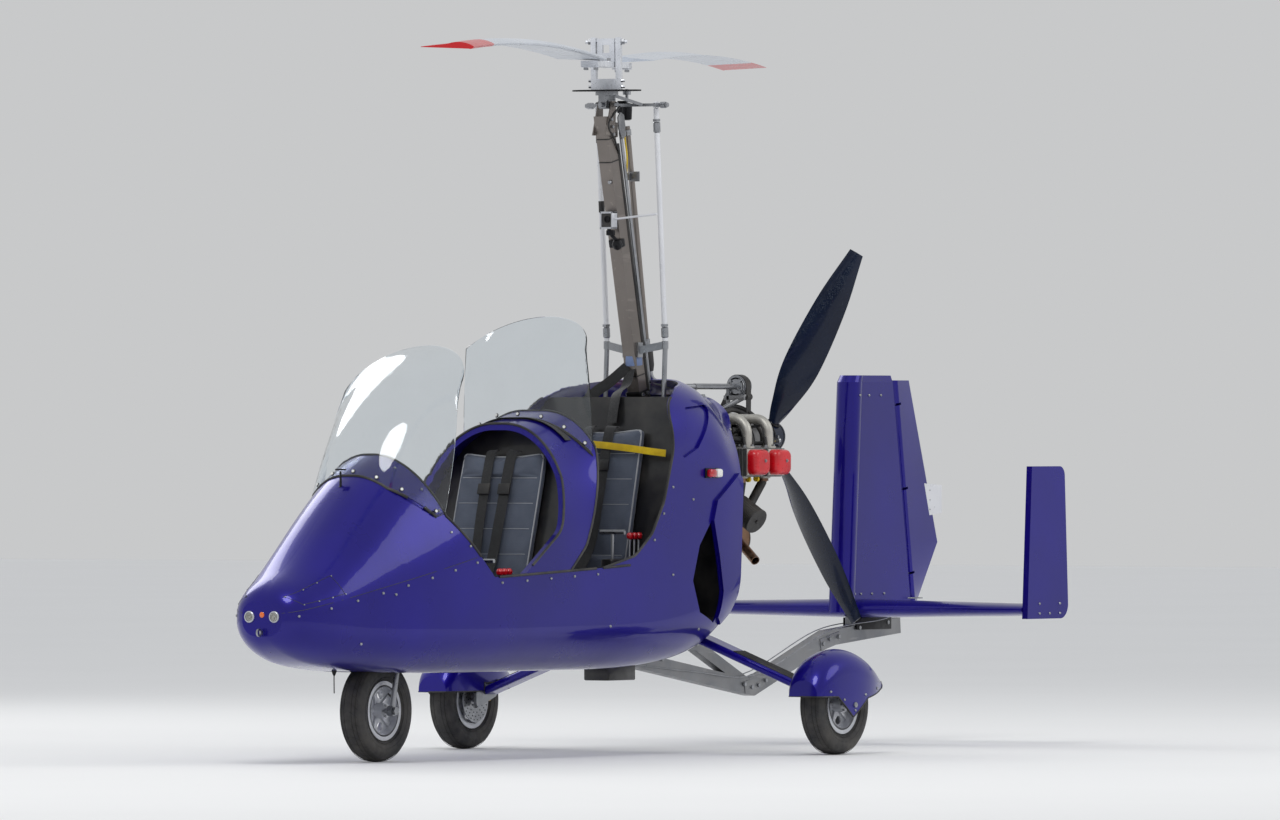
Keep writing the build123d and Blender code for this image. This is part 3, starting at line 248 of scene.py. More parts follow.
class ShaderKit:
    """The shader node groups that the finishes share."""

    def __init__(self) -> None:
        """Builds each group once."""
        self.surface = self._surface()
        self.dust = self._dust()
        self.wear = self._wear()
        self.weave = self._weave()

    @staticmethod
    def _group(name: str, inputs: dict[str, object], outputs: dict[str, str]) -> tuple[
            Tree, NodeTree, Node, Node]:
        """Makes an empty group with its sockets.

        Args:
            name: The group's name.
            inputs: Each input's default, a number or a colour.
            outputs: Each output's socket type.

        Returns:
            The group, its builder, its input node and its output node.
        """
        group = bpy.data.node_groups.new(name, "ShaderNodeTree")
        for label, default in inputs.items():
            kind = "NodeSocketFloat" if isinstance(default, float) else "NodeSocketColor"
            if default is None:
                kind = "NodeSocketVector"
            socket = group.interface.new_socket(label, in_out="INPUT", socket_type=kind)
            if default is not None:
                socket.default_value = default if isinstance(default, float) else (*default, 1.0)
        for label, kind in outputs.items():
            group.interface.new_socket(label, in_out="OUTPUT", socket_type=kind)
        build = NodeTree(group)
        return group, build, build.add("NodeGroupInput"), build.add("NodeGroupOutput")

    def _surface(self) -> Tree:
        """Slow colour drift, uneven gloss and a fine grain.

        Returns:
            The group.
        """
        group, build, given, result = self._group(
            "Surface variation",
            {"Color": (0.5, 0.5, 0.5), "Second Color": (0.4, 0.4, 0.4), "Patches": 3.0, "Grain": 300.0,
             "Rough Low": 0.3, "Rough High": 0.5},
            {"Color": "NodeSocketColor", "Roughness": "NodeSocketFloat", "Height": "NodeSocketFloat"})
        place = build.place()
        patch = build.noise(place, given.outputs["Patches"], 4.0)
        grain = build.noise(place, given.outputs["Grain"], 2.0)
        smear = build.noise(place, build.math("MULTIPLY", given.outputs["Patches"], 5.0), 3.0)
        share = build.ramp(
            build.math("ADD", build.math("MULTIPLY", patch, 0.8), build.math("MULTIPLY", grain, 0.2)), 0.35,
            0.65)
        build.link(
            build.mix(share, given.outputs["Color"], given.outputs["Second Color"]), result.inputs["Color"])
        build.link(build.ramp(smear, 0.3, 0.7, given.outputs["Rough Low"], given.outputs["Rough High"]),
                   result.inputs["Roughness"])
        build.link(grain, result.inputs["Height"])
        return group

    def _dust(self) -> Tree:
        """Dust in patches, from a noise.

        Returns:
            The group.
        """
        group, build, given, result = self._group(
            "Settled dust",
            {"Color": (0.5, 0.5, 0.5), "Dust": (0.4, 0.36, 0.3), "Amount": 0.2, "Patches": 9.0},
            {"Color": "NodeSocketColor", "Mask": "NodeSocketFloat"})
        place = build.place()
        cloud = build.noise(place, given.outputs["Patches"], 6.0)
        mask = build.math("MULTIPLY", build.ramp(cloud, 0.4, 0.75), given.outputs["Amount"], clamp=True)
        build.link(build.mix(mask, given.outputs["Color"], given.outputs["Dust"]), result.inputs["Color"])
        build.link(mask, result.inputs["Mask"])
        return group

    def _wear(self) -> Tree:
        """Fine scratches and chips of a second colour.

        Returns:
            The group.
        """
        group, build, given, result = self._group(
            "Scratches", {"Color": (0.5, 0.5, 0.5), "Worn": (0.7, 0.7, 0.7), "Amount": 0.3, "Scale": 40.0},
            {"Color": "NodeSocketColor", "Mask": "NodeSocketFloat"})
        place = build.place()
        stretch = build.add("ShaderNodeMapping")
        stretch.inputs["Scale"].default_value = (1.0, 0.12, 1.0)
        build.link(place, stretch.inputs["Vector"])
        scratch = build.noise(stretch.outputs["Vector"], given.outputs["Scale"], 8.0)
        mask = build.math("MULTIPLY", build.ramp(scratch, 0.62, 0.68), given.outputs["Amount"], clamp=True)
        build.link(build.mix(mask, given.outputs["Color"], given.outputs["Worn"]), result.inputs["Color"])
        build.link(mask, result.inputs["Mask"])
        return group

    def _weave(self) -> Tree:
        """A plain weave of two crossing sets of threads.

        Returns:
            The group.
        """
        group, build, given, result = self._group(
            "Plain weave", {"Vector": None, "Threads": 800.0},
            {"Height": "NodeSocketFloat", "Mask": "NodeSocketFloat"})
        parts = build.add("ShaderNodeSeparateXYZ")
        build.link(given.outputs["Vector"], parts.inputs[0])
        turns = build.math("MULTIPLY", given.outputs["Threads"], math.pi)
        along = build.math("SINE", build.math("MULTIPLY", parts.outputs[0], turns))
        cross = build.math("SINE", build.math("MULTIPLY", parts.outputs[1], turns))
        depth = build.math("SINE", build.math("MULTIPLY", parts.outputs[2], turns))
        height = build.math(
            "ADD", build.math("ABSOLUTE", build.math("ADD", along, depth)), build.math("ABSOLUTE", cross))
        build.link(build.math("MULTIPLY", height, 0.4), result.inputs["Height"])
        build.link(build.ramp(height, 0.2, 1.6), result.inputs["Mask"])
        return group


def plain_material(name: str) -> tuple[Material, NodeTree, Node]:
    """Starts a node material and returns it with its builder and its shader.

    Args:
        name: The material's name.

    Returns:
        The material, its tree's builder and its shader.
    """
    material = bpy.data.materials.new(name)
    material.use_nodes = True
    return material, NodeTree(material.node_tree), material.node_tree.nodes["Principled BSDF"]


@dataclass(frozen=True)
class Finish:
    """One opaque finish: its colours, gloss and what its surface is like close up."""

    name: str
    color: Rgb
    second: Rgb
    rough: Pair = (0.35, 0.5)
    metallic: float = 0.0
    coat: float = 0.0
    specular: float = 0.5
    patches: float = 3.0
    grain: float = 400.0
    bump: float = 0.05
    bump_depth: float = 0.2
    dust: float = 0.0
    wear: float = 0.0
    worn: Rgb = (0.6, 0.6, 0.62)
    threads: float = 0.0
    sheen: float = 0.0
    tip_color: Rgb | None = None

    def material(self, kit: ShaderKit) -> Material:
        """Builds the finish as a node material.

        Args:
            kit: The shared shader groups.

        Returns:
            The material.
        """
        material, build, shader = plain_material(self.name)
        build.fill(shader, {"Metallic": self.metallic, "Coat Weight": self.coat, "Coat Roughness": 0.04,
                            "Specular IOR Level": self.specular, "Sheen Weight": self.sheen})
        surface = build.group(
            kit.surface,
            {"Color": self.color, "Second Color": self.second, "Patches": self.patches, "Grain": self.grain,
                "Rough Low": self.rough[0], "Rough High": self.rough[1]})
        color, height = surface["Color"], surface["Height"]
        if self.wear > 0.0:
            color = build.group(kit.wear, {"Worn": self.worn, "Amount": self.wear, "Color": color})["Color"]
        if self.threads > 0.0:
            weave = build.group(kit.weave, {"Threads": self.threads, "Vector": build.place()})
            color, height = build.mix(weave["Mask"], self.second, color), weave["Height"]
        if self.tip_color is not None:
            color = self._tip(build, color)
        if self.dust > 0.0:
            color = build.group(kit.dust, {"Amount": self.dust, "Color": color})["Color"]
        relief = build.add("ShaderNodeBump")
        build.fill(relief, {"Strength": self.bump, "Distance": self.bump_depth * MM, "Height": height})
        build.fill(
            shader,
            {"Base Color": color, "Roughness": surface["Roughness"], "Normal": relief.outputs["Normal"]})
        return material

    def _tip(self, build: NodeTree, color: Socket) -> Socket:
        """Paints the rotor blades' outer ends.

        Args:
            build: The material's tree.
            color: The colour that the rest of the blade has.

        Returns:
            The painted colour's socket.
        """
        place = build.place()
        flat = build.add("ShaderNodeVectorMath", operation="MULTIPLY")
        flat.inputs[1].default_value = (1.0, 1.0, 0.0)
        build.link(place, flat.inputs[0])
        reach = build.add("ShaderNodeVectorMath", operation="LENGTH")
        build.link(flat.outputs["Vector"], reach.inputs[0])
        mask = build.math("GREATER_THAN", reach.outputs["Value"], RotorHead.tip_start)
        return build.mix(mask, color, self.tip_color)


@dataclass(frozen=True)
class Clear:
    """A see-through finish, such as acrylic or a lens."""

    name: str
    color: Rgb
    roughness: float = 0.02
    ior: float = 1.49
    smears: float = 0.02

    def material(self, kit: ShaderKit) -> Material:
        """Builds the finish as a node material.

        Args:
            kit: The shared shader groups.

        Returns:
            The material.
        """
        material, build, shader = plain_material(self.name)
        edge = tuple(channel * 0.97 for channel in self.color)
        surface = build.group(
            kit.surface,
            {"Color": self.color, "Second Color": edge, "Patches": 5.0, "Grain": 60.0,
                "Rough Low": self.roughness, "Rough High": self.roughness + self.smears})
        build.fill(shader, {"Transmission Weight": 1.0, "IOR": self.ior, "Base Color": surface["Color"],
                            "Roughness": surface["Roughness"]})
        return material


Look = Finish | Clear

PAINT = Finish("body_paint", srgb(26, 12, 140), srgb(20, 9, 116), (0.26, 0.34), metallic=0.50, coat=0.55,
               specular=0.2, patches=1.2, grain=2600.0, bump=0.01)
MAST_STEEL = Finish(
    "mast_steel", srgb(140, 133, 128), srgb(120, 114, 110), (0.3, 0.48), metallic=0.8, patches=2.2,
    grain=500.0, bump=0.05, wear=0.25, worn=srgb(175, 168, 160))
KEEL_STEEL = Finish(
    "keel_steel", srgb(150, 151, 154), srgb(126, 128, 132), (0.32, 0.5), metallic=0.85, patches=4.0, wear=0.3,
    worn=srgb(190, 190, 190), dust=0.15)
SATIN_STEEL = Finish("lever_steel", srgb(168, 170, 174), srgb(146, 148, 152), (0.25, 0.42), metallic=0.95,
                     patches=12.0, grain=900.0, wear=0.2)
DARK_STEEL = Finish("gear_dark", srgb(44, 44, 47), srgb(30, 30, 32), (0.3, 0.5), metallic=0.8, patches=14.0)
WHITE_PAINT = Finish(
    "rod_white", srgb(226, 227, 230), srgb(214, 215, 219), (0.25, 0.38), metallic=0.1, coat=0.3, patches=4.0,
    dust=0.06)
TOWER_WHITE = Finish("tower_white", srgb(224, 226, 231), srgb(204, 207, 213), (0.24, 0.4), metallic=0.35,
                     patches=18.0, wear=0.15)
BLADE_GREY = Finish(
    "blade_grey", srgb(205, 211, 220), srgb(192, 199, 209), (0.25, 0.36), metallic=0.25, coat=0.2,
    patches=1.4, grain=200.0, tip_color=srgb(200, 28, 34), dust=0.05)
PROP_NAVY = Finish("prop_gloss", srgb(14, 27, 50), srgb(10, 20, 40), (0.24, 0.32), coat=0.25, specular=0.25,
                   patches=5.0, bump=0.0)
ENGINE_METAL = Finish("engine_metal", srgb(128, 128, 128), srgb(98, 98, 100), (0.35, 0.55), metallic=0.8,
                      patches=16.0, grain=700.0, bump=0.3, dust=0.15)
RED_ENAMEL = Finish("red_enamel", srgb(206, 8, 26), srgb(184, 6, 20), (0.25, 0.38), coat=0.3, patches=20.0,
                    grain=900.0, bump=0.12)
LIGHT_CAST = Finish("cast_light", srgb(196, 194, 186), srgb(168, 166, 160), (0.35, 0.55), metallic=0.6,
                    patches=20.0, grain=1100.0, bump=0.35)
TINTED_STEEL = Finish("exhaust_steel", srgb(150, 118, 92), srgb(104, 78, 66), (0.28, 0.48), metallic=0.95,
                      patches=9.0, wear=0.2)
BLACK_RUBBER = Finish(
    "hose_rubber", srgb(34, 34, 36), srgb(24, 24, 26), (0.42, 0.6), patches=20.0, grain=800.0, bump=0.1,
    dust=0.1)
FILTER_BLACK = Finish("filter_black", srgb(30, 30, 32), srgb(20, 20, 22), (0.5, 0.7), patches=15.0, dust=0.2)
LINER_BLACK = Finish("liner_black", srgb(26, 26, 29), srgb(18, 18, 21), (0.3, 0.45), coat=0.25, patches=8.0,
                     grain=700.0, bump=0.1, dust=0.08)
SEAT_CLOTH = Finish(
    "seat_cloth", srgb(86, 94, 110), srgb(68, 75, 90), (0.62, 0.8), patches=9.0, threads=620.0, bump=0.35,
    bump_depth=0.5, sheen=0.25)
WEBBING = Finish(
    "belt_webbing", srgb(26, 27, 30), srgb(14, 14, 16), (0.55, 0.72), patches=20.0, threads=900.0, bump=0.5,
    bump_depth=0.5, sheen=0.2)
YELLOW_WEBBING = Finish("yellow_webbing", srgb(238, 206, 22), srgb(206, 170, 10), (0.5, 0.65), patches=20.0,
                        threads=900.0, bump=0.5, bump_depth=0.5)
TYRE_RUBBER = Finish(
    "tyre_rubber", srgb(42, 42, 44), srgb(30, 30, 32), (0.55, 0.75), patches=12.0, grain=500.0, bump=0.25,
    dust=0.14)
RIM_SILVER = Finish("rim_silver", srgb(206, 208, 213), srgb(186, 188, 194), (0.28, 0.45), metallic=0.55,
                    patches=12.0, dust=0.08)
BRASS = Finish("brass", srgb(178, 140, 74), srgb(150, 112, 56), (0.3, 0.45), metallic=0.9, patches=30.0)
GRIP_TAPE = Finish("anti_slip", srgb(30, 30, 32), srgb(20, 20, 21), (0.8, 0.95), patches=30.0, grain=1500.0,
                   bump=0.8, bump_depth=0.8, dust=0.2)
CLEAR_SCREEN = Clear("clear_screen", srgb(240, 246, 250))
LAMP_LENS = Clear("lamp_glass", srgb(250, 250, 250), 0.03)
RED_LENS = Finish("red_lens", srgb(208, 20, 34), srgb(170, 10, 22), (0.1, 0.2), coat=1.0, patches=20.0)
GREEN_LENS = Finish("green_lens", srgb(20, 150, 70), srgb(12, 120, 50), (0.1, 0.2), coat=1.0, patches=20.0)
ORANGE_LENS = Finish("orange_lens", srgb(240, 120, 20), srgb(220, 96, 10), (0.1, 0.2), coat=1.0, patches=20.0)
MAST_TAPE = Finish("mast_tape", srgb(128, 148, 190), srgb(106, 126, 168), (0.4, 0.6), patches=12.0, dust=0.1)
# Near-black lines laid on the tyres as painted shade in each tread groove and sipe.
GROOVE_SHADE = Finish("tyre_groove_shade", srgb(14, 14, 15), srgb(10, 10, 11), (0.7, 0.85), patches=12.0, dust=0.1)
PIPING_GREY = Finish("seat_piping", srgb(168, 170, 174), srgb(150, 152, 156), (0.55, 0.7), patches=12.0)
GOLD_ANODISED = Finish(
    "caliper_gold", srgb(176, 146, 72), srgb(150, 122, 58), (0.25, 0.4), metallic=0.9, patches=20.0)
DIAL_BLACK = Finish("dial_face", srgb(16, 16, 18), srgb(12, 12, 14), (0.3, 0.4), patches=20.0)
DIAL_WHITE = Finish("dial_marks", srgb(236, 236, 232), srgb(220, 220, 216), (0.5, 0.6), patches=20.0)

FINISH_NODES: tuple[tuple[Look, str], ...] = (
    (PAINT, "body_tub nose_cowl mid_cowl rear_cowl fin rudder stabilizer left_scoop right_scoop "
            "left_end_plate right_end_plate left_spat right_spat gear_bow"),
    (CLEAR_SCREEN, "front_windscreen rear_windscreen"),
    (KEEL_STEEL, "keel engine_frame"),
    (MAST_STEEL, "mast"),
    (WHITE_PAINT, "left_control_rod right_control_rod trim_tab"),
    (SATIN_STEEL, "rod_levers gimbal_block head_frame tow_eye nose_fork left_axle right_axle"),
    (TOWER_WHITE, "rotor_tower teeter_block"),
    (DARK_STEEL, "ring_gear"),
    (BLADE_GREY, "front_rotor_blade rear_rotor_blade"),
    (PROP_NAVY, "prop_blades prop_hub"),
    (ENGINE_METAL, "engine_block cylinders"),
    (RED_ENAMEL, "rocker_covers"),
    (LIGHT_CAST, "intake_manifold"),
    (TINTED_STEEL, "exhaust"),
    (FILTER_BLACK, "air_filter"),
    (LINER_BLACK, "rear_bulkhead front_seat_shell rear_seat_shell instrument_panel"),
    (SEAT_CLOTH, "front_seat_pad rear_seat_pad"),
    (LAMP_LENS, "nose_lamps"),
    (TYRE_RUBBER, "nose_tyre left_tyre right_tyre"),
    (RIM_SILVER, "nose_rim left_rim right_rim"),
)
NODE_FINISH = {node: finish for finish, nodes in FINISH_NODES for node in nodes.split()}
RECORD_SLOTS = {finish.name for finish in NODE_FINISH.values()}


class Workshop:
    """Holds the shader groups and the materials, and turns finished shapes into pieces."""

    def __init__(self) -> None:
        """Builds the shader groups."""
        self.kit = ShaderKit()
        self.materials: dict[str, Material] = {}

    def material(self, finish: Look) -> Material:
        """Returns the finish's material, built on first use."""
        if finish.name not in self.materials:
            self.materials[finish.name] = finish.material(self.kit)
        return self.materials[finish.name]

    def dress_nodes(self) -> None:
        """Gives every carried-over solid its finish."""
        for name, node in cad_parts.items():
            material = self.material(NODE_FINISH.get(name, SATIN_STEEL))
            for place in range(max(1, len(node.material_slots))):
                if node.material_slots:
                    node.material_slots[place].material = material
                else:
                    node.data.materials.append(material)

    def piece(self, name: str, mesh: Mesh, finish: Look, body: Body, slot: str = "",
              sharp: float = 35.0) -> Piece:
        """Makes a finished piece from a mesh.

        Args:
            name: The piece's name.
            mesh: Its mesh, in place in the frame.
            finish: Its finish.
            body: The body that it rides on.
            slot: The record's slot it belongs to, where it isn't the finish's own name; it is looked up but
                not stored.
            sharp: Edges that turn by more than this many degrees stay sharp.

        Returns:
            The piece.
        """
        mesh.materials.clear()
        mesh.materials.append(self.material(finish))
        mesh.shade_smooth()
        mesh.set_sharp_from_angle(angle=math.radians(sharp))
        piece = bpy.data.objects.new(name, mesh)
        bpy.context.scene.collection.objects.link(piece)
        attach(piece, body.value)
        if (slot or finish.name) in RECORD_SLOTS:
            slot or finish.name
        log.info("%s: %d faces on %s", name, len(mesh.polygons), body.value)
        return piece


def smooth_path(points: Sequence[Triple], steps: int = 8) -> list[Vector]:
    """Runs a smooth line through control points.

    Args:
        points: The control points, in metres.
        steps: How many short runs each stretch gets.

    Returns:
        Points along the line.
    """
    knots = [Vector(point) for point in points]
    if len(knots) < 3:
        return knots
    ends = [2 * knots[0] - knots[1], *knots, 2 * knots[-1] - knots[-2]]
    line = []
    for before, start, end, after in zip(ends, ends[1:], ends[2:], ends[3:]):
        for step in range(steps):
            t = step / steps
            line.append(
                0.5 * (2 * start + (end - before) * t + (2 * before - 5 * start + 4 * end - after) * t ** 2
                    + (3 * start - before - 3 * end + after) * t ** 3))
    return [*line, knots[-1]]


def square_to(direction: Vector, like: Vector = UP) -> tuple[Vector, Vector]:
    """Finds two directions square to one.

    Args:
        direction: The direction.
        like: What the second result should lean towards.

    Returns:
        The two directions.
    """
    side = direction.cross(like)
    if side.length < 1e-5:
        side = direction.cross(ACROSS)
    side.normalize()
    return side, side.cross(direction).normalized()


class Shape:
    """A mesh under construction, in metres in the frame's axes."""

    def __init__(self) -> None:
        """Starts an empty mesh."""
        self.bm = bmesh.new()

    def join(self, rings: list[list[bmesh.types.BMVert]], closed: bool, caps: bool) -> None:
        """Joins rings of vertices with faces.

        Args:
            rings: Rings of as many vertices each.
            closed: Whether the last ring joins the first.
            caps: Whether the end rings get faces.
        """
        pairs = list(zip(rings, rings[1:])) + ([(rings[-1], rings[0])] if closed else [])
        for first, second in pairs:
            count = len(first)
            for place in range(count):
                after = (place + 1) % count
                self.bm.faces.new((first[place], first[after], second[after], second[place]))
        if caps and not closed:
            self.bm.faces.new(list(reversed(rings[0])))
            self.bm.faces.new(rings[-1])

    def tube(self, path: Sequence[Point], radius: float | Sequence[float], sides: int = 12,
             closed: bool = False, flat: float = 1.0, like: Vector = UP) -> "Shape":
        """Adds a round tube along a path.

        Args:
            path: The points it runs through.
            radius: One radius, or one for each point.
            sides: How many sides it has.
            closed: Whether it joins its own start.
            flat: How thick it is for its width.
            like: What its thin side leans towards.

        Returns:
            The shape itself.
        """
        points = [Vector(point) for point in path]
        radii = [radius] * len(points) if isinstance(radius, (int, float)) else list(radius)
        rings, normal = [], None
        for place, point in enumerate(points):
            before = points[place - 1] if place or closed else point
            after = points[(place + 1) % len(points)] if place + 1 < len(points) or closed else point
            run = (after - before).normalized()
            if normal is None:
                normal = square_to(run, like)[1]
            normal = (normal - run * normal.dot(run)).normalized()
            side = run.cross(normal)
            ring = []
            for step in range(sides):
                angle = 2 * math.pi * step / sides
                ring.append(
                    self.bm.verts.new(point + side * math.cos(angle) * radii[place]
                        + normal * math.sin(angle) * radii[place] * flat))
            rings.append(ring)
        self.join(rings, closed, True)
        return self

    def strap(self, path: Sequence[Point], width: float, thick: float, face: Vector) -> "Shape":
        """Adds a flat strap along a path.

        Args:
            path: The points it runs through.
            width: Its width.
            thick: Its thickness.
            face: The way its flat side looks at its start.

        Returns:
            The shape itself.
        """
        points = [Vector(point) for point in path]
        rings, normal = [], face.normalized()
        for place, point in enumerate(points):
            run = (points[min(place + 1, len(points) - 1)] - points[max(place - 1, 0)]).normalized()
            normal = (normal - run * normal.dot(run)).normalized()
            side = run.cross(normal)
            ring = [self.bm.verts.new(point + side * a * width / 2 + normal * b * thick / 2)
                    for a, b in ((-1, -0.6), (1, -0.6), (1, 0.6), (0.8, 1), (-0.8, 1), (-1, 0.6))]
            rings.append(ring)
        self.join(rings, False, True)
        return self

    def lathe(self, centre: Point, axis: Point, profile: Sequence[Pair], sides: int = 32) -> "Shape":
        """Adds a shape turned about an axis, closed where its profile meets the axis.

        Args:
            centre: A point on the axis.
            axis: The axis's direction.
            profile: Pairs of the place along the axis and the radius there.
            sides: How many sides it has.

        Returns:
            The shape itself.
        """
        centre, axis = Vector(centre), Vector(axis).normalized()
        side, other = square_to(axis)
        rings = []
        for along, radius in profile:
            base = centre + axis * along
            rings.append(
                [self.bm.verts.new(base + (side * math.cos(a) + other * math.sin(a)) * max(radius, 1e-5))
                    for a in (2 * math.pi * step / sides for step in range(sides))])
        loop = profile[0] == profile[-1]
        if loop:
            for vert in rings.pop():
                self.bm.verts.remove(vert)
        self.join(rings, loop, True)
        return self

    def block(self, centre: Point, size: Triple, turn: Matrix | None = None,
              bevel: float = 0.0015) -> "Shape":
        """Adds a block with small bevelled edges.

        Args:
            centre: Its centre.
            size: Its size along its own axes.
            turn: A rotation, if it doesn't lie square.
            bevel: The bevels' width.

        Returns:
            The shape itself.
        """
        place = Matrix.Translation(Vector(centre)) @ (turn.to_4x4() if turn else Matrix.Identity(4))
        made = bmesh.ops.create_cube(self.bm, size=1.0, matrix=place @ Matrix.Diagonal((*size, 1.0)))
        edges = list({edge for vert in made["verts"] for edge in vert.link_edges})
        if bevel > 0.0:
            bmesh.ops.bevel(self.bm, geom=edges, offset=min(bevel, min(size) * 0.45), segments=2, profile=0.5,
                            affect="EDGES")
        return self

    def panel(self, outline: Sequence[Point], thick: Vector, bevel: float = 0.0) -> "Shape":
        """Adds a flat plate of any outline.

        Args:
            outline: The corners of one face.
            thick: From that face to the other.
            bevel: The width of the bevels on its edges.

        Returns:
            The shape itself.
        """
        front = [self.bm.verts.new(Vector(point)) for point in outline]
        back = [self.bm.verts.new(Vector(point) + thick) for point in outline]
        self.join([front, back], False, True)
        if bevel > 0.0:
            edges = list({edge for vert in front + back for edge in vert.link_edges})
            bmesh.ops.bevel(self.bm, geom=edges, offset=bevel, segments=2, profile=0.5, affect="EDGES")
        return self

    def mesh(self, name: str) -> Mesh:
        """Ends the work and returns the mesh, its faces outwards.

        Args:
            name: The mesh's name.

        Returns:
            The mesh.
        """
        bmesh.ops.recalc_face_normals(self.bm, faces=self.bm.faces)
        mesh = bpy.data.meshes.new(name)
        self.bm.to_mesh(mesh)
        self.bm.free()
        return mesh


def band(inner: float, outer: float, length: float, start: float = 0.0) -> tuple[Pair, ...]:
    """The closed profile of a ring: its two radii and its length along the axis."""
    end = start + length
    return (start, inner), (start, outer), (end, outer), (end, inner), (start, inner)


def puck(radius: float, height: float) -> tuple[Pair, ...]:
    """The profile of a short plain cylinder, open at its foot."""
    return (0.0, radius), (height, radius), (height, 0.0)


def circle(centre: Point, radius: float, count: int, first: Vector, second: Vector,
           start: float = 0.0) -> list[Vector]:
    """Evenly spaced points on a circle.

    Args:
        centre: Its centre.
        radius: Its radius.
        count: How many points.
        first: The direction of angle 0.
        second: The direction of a quarter turn.
        start: The first point's angle, in steps.

    Returns:
        The points.
    """
    angles = (2 * math.pi * (step + start) / count for step in range(count))
    return [Vector(centre) + (first * math.cos(a) + second * math.sin(a)) * radius for a in angles]


def basis(run: Vector, face: Vector) -> Matrix:
    """A rotation whose x axis runs along run and whose z axis leans towards face.

    Args:
        run: The way of the x axis.
        face: What the z axis leans towards.

    Returns:
        The rotation.
    """
    x_axis = run.normalized()
    z_axis = (face - x_axis * face.dot(x_axis)).normalized()
    return Matrix((x_axis, z_axis.cross(x_axis), z_axis)).transposed()


